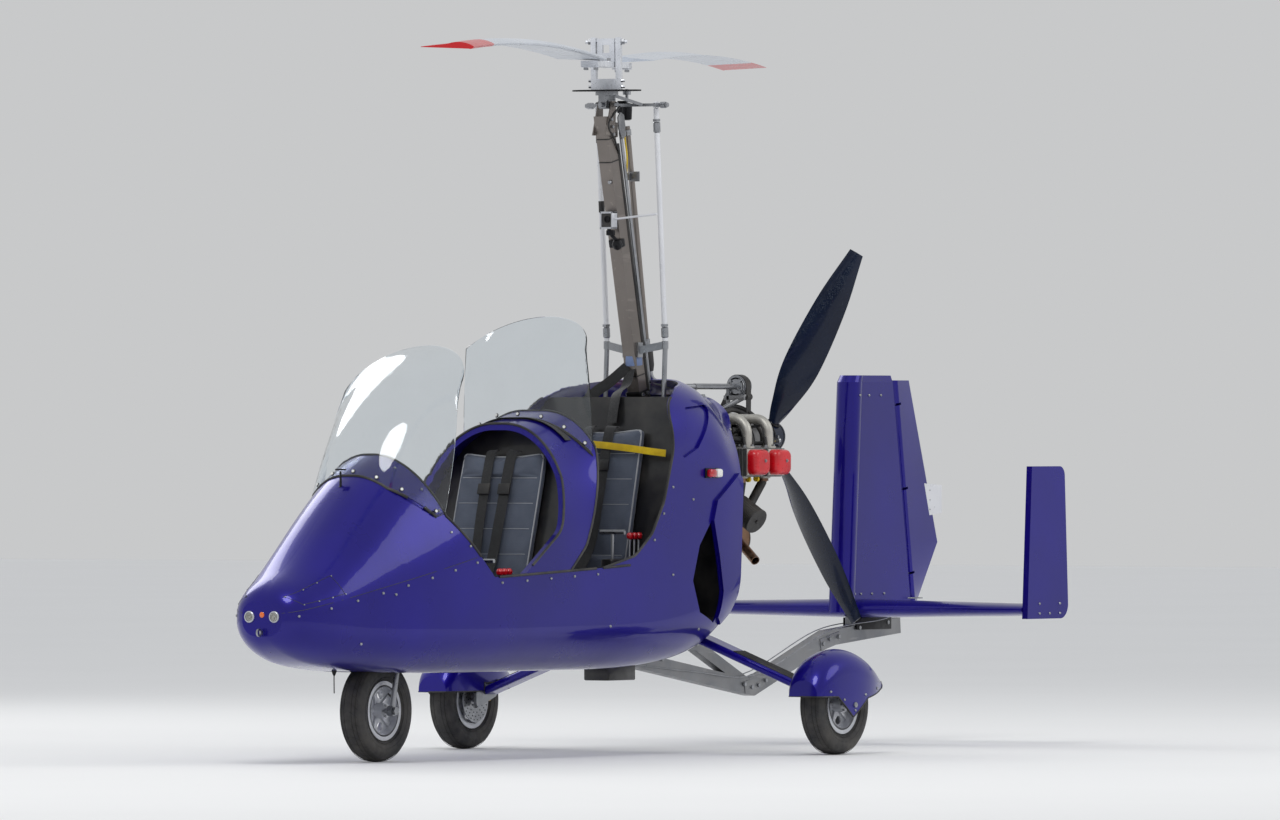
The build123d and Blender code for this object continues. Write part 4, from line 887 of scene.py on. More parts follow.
class Repeats:
    """Geometry Nodes trees for what repeats, and the plain meshes that they give."""

    def __init__(self, shop: Workshop) -> None:
        """Builds the trees.

        Args:
            shop: Gives the materials.
        """
        self.shop = shop
        self.heads = self._heads_tree()
        self.beads = self._beads_tree()
        self.teeth = self._teeth_tree()

    @staticmethod
    def _tree(name: str, numbers: dict[str, float | int]) -> tuple[Tree, NodeTree, Node, Node]:
        """Makes an empty geometry tree with named inputs.

        Args:
            name: The tree's name.
            numbers: Each number input's default.

        Returns:
            The tree, its builder, its input node and its output node.
        """
        tree = bpy.data.node_groups.new(name, "GeometryNodeTree")
        tree.interface.new_socket("Geometry", in_out="INPUT", socket_type="NodeSocketGeometry")
        for label, default in numbers.items():
            kind = "NodeSocketInt" if isinstance(default, int) else "NodeSocketFloat"
            tree.interface.new_socket(label, in_out="INPUT", socket_type=kind).default_value = default
        tree.interface.new_socket("Material", in_out="INPUT", socket_type="NodeSocketMaterial")
        tree.interface.new_socket("Geometry", in_out="OUTPUT", socket_type="NodeSocketGeometry")
        build = NodeTree(tree)
        return tree, build, build.add("NodeGroupInput"), build.add("NodeGroupOutput")

    @staticmethod
    def _spread(build: NodeTree, ends: tuple[Node, Node], points: Socket,
                shape: Socket, way: tuple[str, Socket]) -> None:
        """Ends a tree: turned copies on points, made real, then the material.

        Args:
            build: The tree's builder.
            ends: Its input and output nodes.
            points: The points.
            shape: What is copied.
            way: A copy's axis and the direction that it takes.
        """
        given, result = ends
        turn = build.add("FunctionNodeAlignRotationToVector", axis=way[0])
        build.link(way[1], turn.inputs["Vector"])
        spread = build.add("GeometryNodeInstanceOnPoints")
        build.fill(spread, {"Points": points, "Instance": shape, "Rotation": turn.outputs["Rotation"]})
        real = build.add("GeometryNodeRealizeInstances")
        paint = build.add("GeometryNodeSetMaterial")
        build.link(spread.outputs["Instances"], real.inputs["Geometry"])
        build.link(real.outputs["Geometry"], paint.inputs["Geometry"])
        build.link(given.outputs["Material"], paint.inputs["Material"])
        build.link(paint.outputs["Geometry"], result.inputs["Geometry"])

    def _heads_tree(self) -> Tree:
        """A short tapered head, such as a screw's or rivet's, at each point, along the point's facing.

        Returns:
            The tree.
        """
        tree, build, given, result = self._tree(
            "Heads on points", {"Radius": 0.004, "Top Share": 0.8, "Height": 0.002, "Sides": 10})
        head = build.add("GeometryNodeMeshCone")
        radius = given.outputs["Radius"]
        build.fill(head, {"Vertices": given.outputs["Sides"], "Radius Bottom": radius,
                          "Radius Top": build.math("MULTIPLY", radius, given.outputs["Top Share"]),
                          "Depth": given.outputs["Height"]})
        facing = build.add("GeometryNodeInputNamedAttribute", data_type="FLOAT_VECTOR")
        facing.inputs["Name"].default_value = "facing"
        self._spread(build, (given, result), given.outputs["Geometry"], head.outputs["Mesh"],
                     ("Z", facing.outputs["Attribute"]))
        return tree

    def _beads_tree(self) -> Tree:
        """Short cylinders along a line, such as a hose's ribs or a seam's stitches.

        Returns:
            The tree.
        """
        tree, build, given, result = self._tree(
            "Beads along a line", {"Spacing": 0.01, "Radius": 0.01, "Length": 0.003, "Sides": 12})
        line = build.add("GeometryNodeMeshToCurve")
        build.link(given.outputs["Geometry"], line.inputs["Mesh"])
        even = build.add("GeometryNodeResampleCurve")
        even.mode = "LENGTH"
        build.link(line.outputs["Curve"], even.inputs["Curve"])
        build.link(given.outputs["Spacing"], even.inputs["Length"])
        bead = build.add("GeometryNodeMeshCylinder")
        build.fill(bead, {"Vertices": given.outputs["Sides"], "Radius": given.outputs["Radius"],
                          "Depth": given.outputs["Length"]})
        tangent = build.add("GeometryNodeInputTangent")
        self._spread(build, (given, result), even.outputs["Curve"], bead.outputs["Mesh"],
                     ("Z", tangent.outputs["Tangent"]))
        return tree

    def _teeth_tree(self) -> Tree:
        """Blocks in a ring, such as gear teeth or tread blocks, about the object's own X axis.

        Returns:
            The tree.
        """
        tree, build, given, result = self._tree(
            "Teeth in a ring",
            {"Count": 40, "Ring Radius": 0.13, "Wide": 0.01, "Round": 0.005, "Deep": 0.004})
        ring = build.add("GeometryNodeMeshCircle")
        build.fill(ring, {"Vertices": given.outputs["Count"], "Radius": given.outputs["Ring Radius"]})
        size = build.add("ShaderNodeCombineXYZ")
        build.fill(
            size, {"X": given.outputs["Deep"], "Y": given.outputs["Round"], "Z": given.outputs["Wide"]})
        tooth = build.add("GeometryNodeMeshCube")
        build.link(size.outputs["Vector"], tooth.inputs["Size"])
        place = build.add("GeometryNodeInputPosition")
        self._spread(build, (given, result), ring.outputs["Mesh"], tooth.outputs["Mesh"],
                     ("X", place.outputs["Position"]))
        return tree

    def _run(self, tree: Tree, base: Mesh, name: str, finish: Look, values: dict[str, float | int]) -> Mesh:
        """Runs a tree on a mesh and returns the plain mesh it gives.

        Args:
            tree: The tree.
            base: The mesh that it starts from.
            name: The result's name.
            finish: The finish that the tree sets.
            values: The values of its named inputs.

        Returns:
            The plain mesh.
        """
        holder = bpy.data.objects.new(name + "_base", base)
        bpy.context.scene.collection.objects.link(holder)
        modifier = holder.modifiers.new("Repeat", "NODES")
        modifier.node_group = tree
        sockets = {item.name: item.identifier for item in tree.interface.items_tree
                   if item.item_type == "SOCKET" and item.in_out == "INPUT"}
        for label, value in values.items():
            modifier[sockets[label]] = value
        modifier[sockets["Material"]] = self.shop.material(finish)
        bpy.context.view_layer.update()
        evaluated = holder.evaluated_get(bpy.context.evaluated_depsgraph_get())
        mesh = bpy.data.meshes.new_from_object(evaluated)
        mesh.name = name
        holder.modifiers.remove(modifier)
        bpy.data.objects.remove(holder)
        return mesh

    def at_points(self, name: str, places: Sequence[Hit], radius: float, height: float, finish: Finish,
                  body: Body, sides: int, top: float) -> Piece:
        """Puts a head on each of some points.

        Args:
            name: The piece's name.
            places: Each point and the way its head looks.
            radius: A head's radius.
            height: A head's height, half of it sunk.
            finish: The heads' finish.
            body: The body they ride on.
            sides: How many sides a head has.
            top: The top's radius as a share of the foot's.

        Returns:
            The piece.
        """
        base = bpy.data.meshes.new(name + "_points")
        base.from_pydata([tuple(point) for point, _ in places], [], [])
        facing = base.attributes.new("facing", "FLOAT_VECTOR", "POINT")
        for row, (_, way) in zip(facing.data, places):
            row.vector = way
        mesh = self._run(self.heads, base, name, finish,
                         {"Radius": radius, "Top Share": top, "Height": height, "Sides": sides})
        return self.shop.piece(name, mesh, finish, body)

    def along(
            self, name: str, path: Sequence[Vector], finish: Finish, body: Body, spacing: float,
            radius: float, length: float, sides: int) -> Piece:
        """Puts beads along a line.

        Args:
            name: The piece's name.
            path: The line's points.
            finish: The beads' finish.
            body: The body they ride on.
            spacing: From bead to bead.
            radius: A bead's radius.
            length: A bead's length along the line.
            sides: How many sides a bead has.

        Returns:
            The piece.
        """
        base = bpy.data.meshes.new(name + "_line")
        base.from_pydata([tuple(p) for p in path], [(i, i + 1) for i in range(len(path) - 1)], [])
        mesh = self._run(self.beads, base, name, finish,
                         {"Spacing": spacing, "Radius": radius, "Length": length, "Sides": sides})
        return self.shop.piece(name, mesh, finish, body)

    def ring(
            self, name: str, centre: Vector, axis: Vector, finish: Finish, body: Body, count: int,
            radius: float, size: Triple) -> Piece:
        """Puts blocks in a ring about an axis.

        Args:
            name: The piece's name.
            centre: The ring's centre.
            axis: The ring's axis.
            finish: The blocks' finish.
            body: The body they ride on.
            count: How many blocks.
            radius: The ring's radius.
            size: A block's size across the ring's radius, round it and along its axis.

        Returns:
            The piece.
        """
        base = bpy.data.meshes.new(name + "_start")
        mesh = self._run(
            self.teeth, base, name, finish,
            {"Count": count, "Ring Radius": radius, "Deep": size[0], "Round": size[1], "Wide": size[2]})
        side, other = square_to(axis.normalized())
        turn = Matrix((side, other, side.cross(other))).transposed().to_4x4()
        mesh.transform(Matrix.Translation(centre) @ turn)
        return self.shop.piece(name, mesh, finish, body)


class Skin:
    """Finds points on the outside of carried-over solids."""

    def __init__(self, *nodes: str) -> None:
        """Reads the named solids' meshes.

        Args:
            *nodes: The solids' names.
        """
        verts, faces = [], []
        for name in nodes:
            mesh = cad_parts[name].data
            start = len(verts)
            verts.extend(vert.co.copy() for vert in mesh.vertices)
            faces.extend([start + index for index in face.vertices] for face in mesh.polygons)
        self.tree = BVHTree.FromPolygons(verts, faces)

    def side(self, y: float, z: float, sign: float = 1.0, lift: float = 0.0) -> Hit | None:
        """The outside point at a height and length, seen from one side.

        Args:
            y: Place along the aircraft.
            z: Height.
            sign: 1 for port, -1 for starboard.
            lift: How far off the skin the point is.

        Returns:
            The point and the way the skin looks there, or None where there is no skin.
        """
        return self.ray((3.0 * sign, y, z), ACROSS * -sign, 3.0, lift)

    def above(self, x: float, y: float, lift: float = 0.0) -> Hit | None:
        """The outside point seen from above, as side() gives it."""
        return self.ray((x, y, 4.0), -UP, 5.0, lift)

    def ray(self, start: Triple, way: Vector, reach: float, lift: float = 0.0) -> Hit | None:
        """The first point that a ray meets, as side() gives it."""
        hit, normal, _, _ = self.tree.ray_cast(Vector(start), way, reach)
        return None if hit is None else (hit + normal * lift, normal)

    def spots(self, places: Iterable[Pair], sign: float, lift: float = 0.0) -> list[Hit]:
        """The outside points at some (y, z) places, as side() gives them, without those that miss."""
        return [hit for hit in (self.side(y, z, sign, lift) for y, z in places) if hit]

    def side_line(self, corners: Sequence[Pair], sign: float, step: float, lift: float = 0.0) -> list[Hit]:
        """Evenly spaced outside points along a line given in side view.

        Args:
            corners: The line's (y, z) corners.
            sign: 1 for port, -1 for starboard.
            step: From point to point.
            lift: How far off the skin the points are.

        Returns:
            The points and the way the skin looks at each.
        """
        places = []
        for (y0, z0), (y1, z1) in zip(corners, corners[1:]):
            count = max(1, round(math.hypot(y1 - y0, z1 - z0) / step))
            places += [
                (y0 + (y1 - y0) * place / count, z0 + (z1 - z0) * place / count) for place in range(count)]
        return self.spots([*places, corners[-1]], sign, lift)


@dataclass
class Studio:
    """The camera, the floor and the light."""

    azimuth: float = math.radians(33.0)
    camera_place: Triple = (30.07, -46.06, 1.35)
    lens: float = 385.2
    shift_up: float = 7.0 / 1280.0
    floor_half: float = 60.0
    pale: Rgb = (0.98, 0.99, 1.0)
    seen: float = 0.59
    light: float = 0.74
    lamps: tuple = (("key", (3.0, -7.5, 11.0), 5.0, 450.0), ("fill", (8.0, 4.0, 6.0), 6.0, 160.0),
                    ("rim", (-8.0, 3.0, 6.5), 5.0, 180.0))

    def build(self) -> None:
        """Sets the camera, floor, world and lamps."""
        self._camera()
        self._floor()
        self._world()
        self._lamps()

    def _camera(self) -> None:
        """Puts the camera at the photo's angle."""
        data = bpy.data.cameras.new("camera")
        data.lens = self.lens
        data.sensor_width = 36.0
        data.shift_y = self.shift_up
        data.clip_end = 400.0
        camera = bpy.data.objects.new("camera", data)
        camera.location = self.camera_place
        camera.rotation_euler = (math.pi / 2, 0.0, self.azimuth)
        bpy.context.scene.collection.objects.link(camera)
        bpy.context.scene.camera = camera

    def _floor(self) -> None:
        """Lays the pale floor."""
        shape = Shape()
        half = self.floor_half
        shape.bm.faces.new([shape.bm.verts.new((x, y, 0.0)) for x, y in
                            ((-half, -half), (half, -half), (half, half), (-half, half))])
        mesh = shape.mesh("floor")
        material, build, shader = plain_material("floor")
        cloud = build.noise(build.place(), 0.6, 3.0)
        build.link(build.mix(cloud, (0.8, 0.8, 0.79), (0.83, 0.83, 0.82)), shader.inputs["Base Color"])
        shader.inputs["Roughness"].default_value = 0.8
        mesh.materials.append(material)
        floor = bpy.data.objects.new("floor", mesh)
        bpy.context.scene.collection.objects.link(floor)
        floor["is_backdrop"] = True

    def _world(self) -> None:
        """Sets the pale surroundings and their soft light."""
        world = bpy.data.worlds.new("surroundings")
        bpy.context.scene.world = world
        world.use_nodes = True
        build = NodeTree(world.node_tree)
        world.node_tree.nodes.clear()
        rays = build.add("ShaderNodeLightPath")
        output = build.add("ShaderNodeOutputWorld")
        light = self._sky(build, (0.94, 0.96, 1.0), self.light)
        for ray in ("Is Camera Ray", "Is Glossy Ray", "Is Transmission Ray"):
            either = build.add("ShaderNodeMixShader")
            build.link(rays.outputs[ray], either.inputs["Fac"])
            build.link(light, either.inputs[1])
            build.link(self._sky(build, self.pale, self.seen), either.inputs[2])
            light = either.outputs["Shader"]
        build.link(light, output.inputs["Surface"])

    @staticmethod
    def _sky(build: NodeTree, color: Rgb, strength: float) -> Socket:
        """Adds one plain surrounding and returns its output.

        Args:
            build: The world's tree.
            color: Its colour.
            strength: Its brightness.

        Returns:
            Its output socket.
        """
        node = build.add("ShaderNodeBackground")
        node.inputs["Color"].default_value = (*color, 1.0)
        node.inputs["Strength"].default_value = strength
        return node.outputs["Background"]

    def _lamps(self) -> None:
        """Hangs a large soft key lamp ahead to port and a weaker one behind."""
        for name, place, size, power in self.lamps:
            data = bpy.data.lights.new(name, "AREA")
            data.shape = "DISK"
            data.size = size
            data.energy = power
            lamp = bpy.data.objects.new(name, data)
            lamp.location = place
            aim = Vector((0.0, -0.3, 1.0)) - Vector(place)
            lamp.rotation_euler = aim.to_track_quat("-Z", "Y").to_euler()
            bpy.context.scene.collection.objects.link(lamp)


def sharp_lines(node: str, keep: Callable[[Vector], bool], turn: float = 50.0, step: float = 0.012,
                shortest: float = 0.08) -> list[list[Vector]]:
    """Joins the sharp edges of a carried-over solid into lines.

    Args:
        node: The solid's name.
        keep: Says whether a point belongs to the lines that are wanted.
        turn: Edges that turn by more than this many degrees are sharp.
        step: The least distance between two points of a line.
        shortest: Lines shorter than this are left out.

    Returns:
        The lines, each as its points.
    """
    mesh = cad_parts[node].data
    keys = [tuple(round(part * 1e4) for part in vert.co) for vert in mesh.vertices]
    normals: dict[frozenset, list[Vector]] = {}
    for face in mesh.polygons:
        corners = [keys[index] for index in face.vertices]
        for first, second in zip(corners, corners[1:] + corners[:1]):
            if first != second:
                normals.setdefault(frozenset((first, second)), []).append(face.normal)
    limit = math.cos(math.radians(turn))
    joined: dict[tuple, list[tuple]] = {}
    for pair, ways in normals.items():
        if len(ways) == 2 and ways[0].dot(ways[1]) < limit:
            first, second = pair
            if keep(Vector(first) * 1e-4) and keep(Vector(second) * 1e-4):
                joined.setdefault(first, []).append(second)
                joined.setdefault(second, []).append(first)
    lines = []
    starts = sorted(joined, key=lambda key: (len(joined[key]) == 2, key))
    for start in starts:
        while joined[start]:
            line, here = [start], start
            while joined[here]:
                there = joined[here].pop()
                joined[there].remove(here)
                line.append(there)
                here = there
            points = [Vector(key) * 1e-4 for key in line]
            thin = [points[0]]
            for point in points[1:-1]:
                if (point - thin[-1]).length >= step:
                    thin.append(point)
            thin.append(points[-1])
            if sum((b - a).length for a, b in zip(thin, thin[1:])) >= shortest:
                lines.append(thin)
    return lines


def spaced(line: Sequence[Vector], gap: float, start: float) -> list[Vector]:
    """Finds evenly spaced places on a line.

    Args:
        line: The line's points.
        gap: The distance from place to place.
        start: How far along the first place is.

    Returns:
        The places.
    """
    found, left = [], start
    for first, second in zip(line, line[1:]):
        run = second - first
        length = run.length
        while left <= length and length > 0.0:
            found.append(first + run * (left / length))
            left += gap
        left -= length
    return found


@dataclass
class Group:
    """A group of pieces, with the tools that make them."""

    shop: Workshop
    repeats: Repeats
    skin: Skin

    def piece(self, name: str, shape: Shape, finish: Look, body: Body = Body.AIRFRAME, slot: str = "",
              sharp: float = 35.0) -> Piece:
        """Ends a shape and makes it a piece, as Workshop.piece() does."""
        return self.shop.piece(name, shape.mesh(name), finish, body, slot, sharp)

    def tube(self, name: str, path: Sequence[Point], radius: float, finish: Look,
             sides: int = 12, smooth: bool = True) -> Piece:
        """Makes one tube along a path, smoothed unless told otherwise."""
        line = smooth_path(path) if smooth else [Vector(point) for point in path]
        return self.piece(name, Shape().tube(line, radius, sides), finish)

    def tubes(self, name: str, paths: Iterable[Sequence[Vector]], radius: float, sides: int = 8) -> Piece:
        """Makes several rubber tubes of one radius as one piece.

        Args:
            name: The piece's name.
            paths: Each tube's points.
            radius: The tubes' radius.
            sides: How many sides a tube has.

        Returns:
            The piece.
        """
        shape = Shape()
        for path in paths:
            shape.tube(path, radius, sides)
        return self.piece(name, shape, BLACK_RUBBER)

    def heads(
            self, name: str, places: Sequence[Hit], radius: float, height: float,
            finish: Finish = SATIN_STEEL, body: Body = Body.AIRFRAME, sides: int = 10,
            top: float = 0.8) -> Piece:
        """Makes a head on each of some points, as Repeats.at_points() does."""
        return self.repeats.at_points(name, places, radius, height, finish, body, sides, top)

    def bolts(self, name: str, places: Sequence[Hit], radius: float, height: float,
              body: Body = Body.AIRFRAME) -> Piece:
        """Makes a six-sided bolt head on each of some points."""
        return self.heads(name, places, radius, height, body=body, sides=6, top=1.0)


@dataclass
class HullTrim(Group):
    """Seals, seams, screws and small fittings of the hull's shell."""

    seam: tuple = ((-2.66, 0.5446), (-2.4, 0.6), (-1.46, 0.8))
    rear_edge: tuple = (
        (-0.6, 0.752), (-0.371, 0.798), (-0.25, 0.885), (-0.165, 1.01), (-0.1, 1.2), (-0.072, 1.4),
        (0.1, 1.47), (0.31, 1.505))
    screw_rows: tuple = (
        (((-2.4, 0.58), (-1.46, 0.78)), 0.145), (((-1.4, 0.79), (-1.6, 0.9), (-1.72, 1.15)), 0.11),
        (((-1.3, 0.7), (-0.64, 0.727)), 0.165), (((-0.235, 0.86), (-0.1, 1.07)), 0.13))
    lone_screws: tuple = (
        (-2.1, 0.47), (-1.93, 0.66), (-0.1, 0.72), (0.05, 1.02), (0.46, 1.3), (0.43, 0.95), (0.4, 0.7),
        (-0.55, 0.52), (0.12, 0.5))
    hatch: tuple = ((-2.42, 0.655), (-2.22, 0.735), (-2.19, 0.665), (-2.38, 0.625), (-2.42, 0.655))
    lamp: Pair = (0.058, 0.577)
    on_skin: float = 0.004
    near_edge: float = 0.034
    edge_end: float = 0.3

    def build(self) -> None:
        """Makes the pieces."""
        self._edges()
        self._screws()
        self._nose()
        self._lights()
        self._belly()

    def _outer(self, point: Vector) -> bool:
        """Says whether a point lies on the hull's outer face.

        Args:
            point: The point.

        Returns:
            Whether it does.
        """
        for sign in (1.0, -1.0):
            found = self.skin.side(point.y, point.z, sign)
            if found is not None and (found[0] - point).length < self.on_skin:
                return True
        found = self.skin.above(point.x, point.y)
        return found is not None and (found[0] - point).length < self.on_skin

    def _on_rear_edge(self, point: Vector) -> bool:
        """Says whether a point is on the rear opening's edge, seen from the side.

        Args:
            point: The point.

        Returns:
            Whether it is.
        """
        flat = Vector((point.y, point.z))
        for first, second in zip(self.rear_edge, self.rear_edge[1:]):
            start, run = Vector(first), Vector(second) - Vector(first)
            share = min(1.0, max(0.0, (flat - start).dot(run) / run.length_squared))
            if (start + run * share - flat).length < self.near_edge:
                return point.y < self.edge_end
        return False

    def _edges(self) -> None:
        """Runs a rubber edge round the cockpit openings and the hoop."""
        lines = []
        for node, wanted in (
                ("nose_cowl", lambda p: p.y > -1.75 and p.z > 0.7951),
                ("body_tub", lambda p: -1.345 < p.y < -0.6 and p.z > 0.7),
                ("mid_cowl", lambda p: p.z > 0.735), ("rear_cowl", self._on_rear_edge)):
            for line in sharp_lines(node, wanted):
                if sum(self._outer(point) for point in line) > 0.6 * len(line):
                    lines.append(line)
        self.tubes("cockpit_edge_rubber", lines, 0.0052)

    def _screws(self) -> None:
        """Sets screws along the seams, the cowl's edge and the side panels."""
        skin = self.skin
        heads, seams = [], []
        for _, sign in SIDES:
            seams.append([hit[0] for hit in skin.side_line(self.seam, sign, 0.02, 0.0004)])
            for corners, step in self.screw_rows:
                heads += skin.side_line(corners, sign, step, 0.0006)
            heads += skin.spots(self.lone_screws, sign, 0.0006)
        self.tubes("panel_seams", seams, 0.0011, sides=6)
        self.heads("panel_screws", heads, 0.0058, 0.0036, sides=12)
        # Dark hexagons on the screw heads as painted shade in each socket.
        self.heads(
            "panel_screw_socket_shade", [(p + n * 0.0016, n) for p, n in heads], 0.0024, 0.0012, DARK_STEEL,
            sides=6)

    def _nose(self) -> None:
        """Makes the nose's lamp bowls, rims, small lens, hatch and post."""
        skin = self.skin
        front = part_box("nose_lamps")[0].y
        bowls, rims, bulbs = Shape(), Shape(), Shape()
        for _, sign in SIDES:
            centre = Vector((sign * self.lamp[0], front, self.lamp[1]))
            bowls.lathe(centre, AFT, ((0.0165, 0.0), (0.0145, 0.008), (0.0085, 0.0145), (0.001, 0.0172),
                                      (0.001, 0.0165), (0.008, 0.0138), (0.0138, 0.0074), (0.0158, 0.0)), 28)
            rims.lathe(centre, AFT, ((-0.003, 0.0176), (-0.0045, 0.02), (-0.002, 0.0225), (0.004, 0.0225),
                                     (0.004, 0.0182), (-0.003, 0.0176)), 32)
            bulbs.lathe(centre, AFT, ((0.003, 0.0), (0.004, 0.0035), (0.01, 0.004), (0.014, 0.0)), 14)
        self.piece("lamp_bowls", bowls, DIAL_WHITE)
        self.piece("lamp_rims", rims, RIM_SILVER)
        self.piece("lamp_bulbs", bulbs, DIAL_WHITE)
        place = Vector((0.0, front + 0.003, 0.585))
        lens = Shape().lathe(
            place, -AFT, ((-0.004, 0.011), (0.002, 0.011), (0.006, 0.007), (0.0075, 0.0)), 20)
        self.piece("nose_marker", lens, ORANGE_LENS)
        hatch, rivets = [], []
        for _, sign in SIDES:
            hatch.append([hit[0] for hit in skin.side_line(self.hatch, sign, 0.02, 0.0004)])
            rivets += skin.side_line([(y + 0.004, z - 0.001) for y, z in self.hatch], sign, 0.075, 0.0005)
        self.tubes("hatch_outlines", hatch, 0.001, sides=6)
        self.heads("hatch_rivets", rivets, 0.0034, 0.002)
        found = skin.above(0.0, -1.9)
        if found:
            foot = found[0]
            post = Shape().lathe(
                foot - UP * 0.004, UP, ((0.0, 0.009), (0.004, 0.005), (0.06, 0.004), (0.062, 0.0)), 16)
            post.block(foot + UP * 0.064, (0.04, 0.022, 0.006), bevel=0.002)
            self.piece("nose_post", post, DARK_STEEL)

    def _lights(self) -> None:
        """Makes the side lights: red to port, green to starboard."""
        skin = self.skin
        for (side, sign), finish in zip(SIDES, (RED_LENS, GREEN_LENS)):
            found = skin.side(0.19, 1.125, sign)
            if found is None:
                continue
            place, out = found
            run = (AFT - out * AFT.dot(out)).normalized()
            foot = Shape().block(place + out * 0.003, (0.105, 0.04, 0.008), basis(run, out), 0.003)
            self.piece(f"{side}_light_foot", foot, DARK_STEEL)
            for label, shift, length, paint in (
                    ("lens", -0.022, 0.048, finish), ("tail_lens", 0.028, 0.042, DIAL_WHITE)):
                lens = Shape().block(
                    place + out * 0.016 + run * shift, (length, 0.034, 0.024), basis(run, out), 0.009)
                self.piece(f"{side}_light_{label}", lens, paint)

    def _belly(self) -> None:
        """Hangs the whip antenna and the black box under the hull."""
        foot = self.skin.ray((0.0, -1.945, 0.05), UP, 1.0)[0]
        route = [
            foot + Vector(shift)
            for shift in ((0.0, 0.0, 0.0), (0.001, -0.002, -0.04), (0.003, -0.004, -0.088))]
        whip = Shape().tube(smooth_path(route), 0.0022, 8)
        whip.lathe(foot + UP * 0.004, -UP, ((0.0, 0.01), (0.008, 0.01), (0.022, 0.0045), (0.026, 0.0)), 14)
        self.piece("whip_antenna", whip, DARK_STEEL)
        box = Shape().block((0.0, 0.02, 0.325), (0.12, 0.2, 0.065), bevel=0.006)
        self.piece("belly_box", box, LINER_BLACK)


@dataclass
class ScreenTrim(Group):
    """The windscreens' seals and fasteners."""

    rivet_gap: float = 0.105
    first_rivet: float = 0.06
    apart: float = 0.055
    on_hull: float = 0.006

    def build(self) -> None:
        """Makes the pieces."""
        rivets, washers = [], []
        for name in ("front_windscreen", "rear_windscreen"):
            edge = Skin(name)
            seal = []
            for line in sharp_lines(name, self._near, 40.0):
                seal.append(line)
                for point in spaced(line, self.rivet_gap, self.first_rivet):
                    hit, out, _, _ = edge.tree.find_nearest(point + UP * 0.02 + ACROSS * point.x * 0.01)
                    if hit is None:
                        continue
                    if out.x * hit.x < 0:
                        out = -out
                    if any((hit - other).length < self.apart for other, _ in rivets):
                        continue
                    rivets.append((hit + out * 0.003, out))
                    washers.append((hit + out * 0.0022, out))
            self.tubes(f"{name}_seal", seal, 0.0062)
        self.heads("screen_rivets", rivets, 0.0068, 0.005, DIAL_WHITE, sides=14)
        self.heads("screen_washers", washers, 0.0092, 0.003, BLACK_RUBBER, sides=14)

    def _near(self, point: Vector) -> bool:
        """Says whether a point is on the hull or the hoop."""
        hit, _, _, gap = self.skin.tree.find_nearest(point, 0.02)
        return hit is not None and gap < self.on_hull


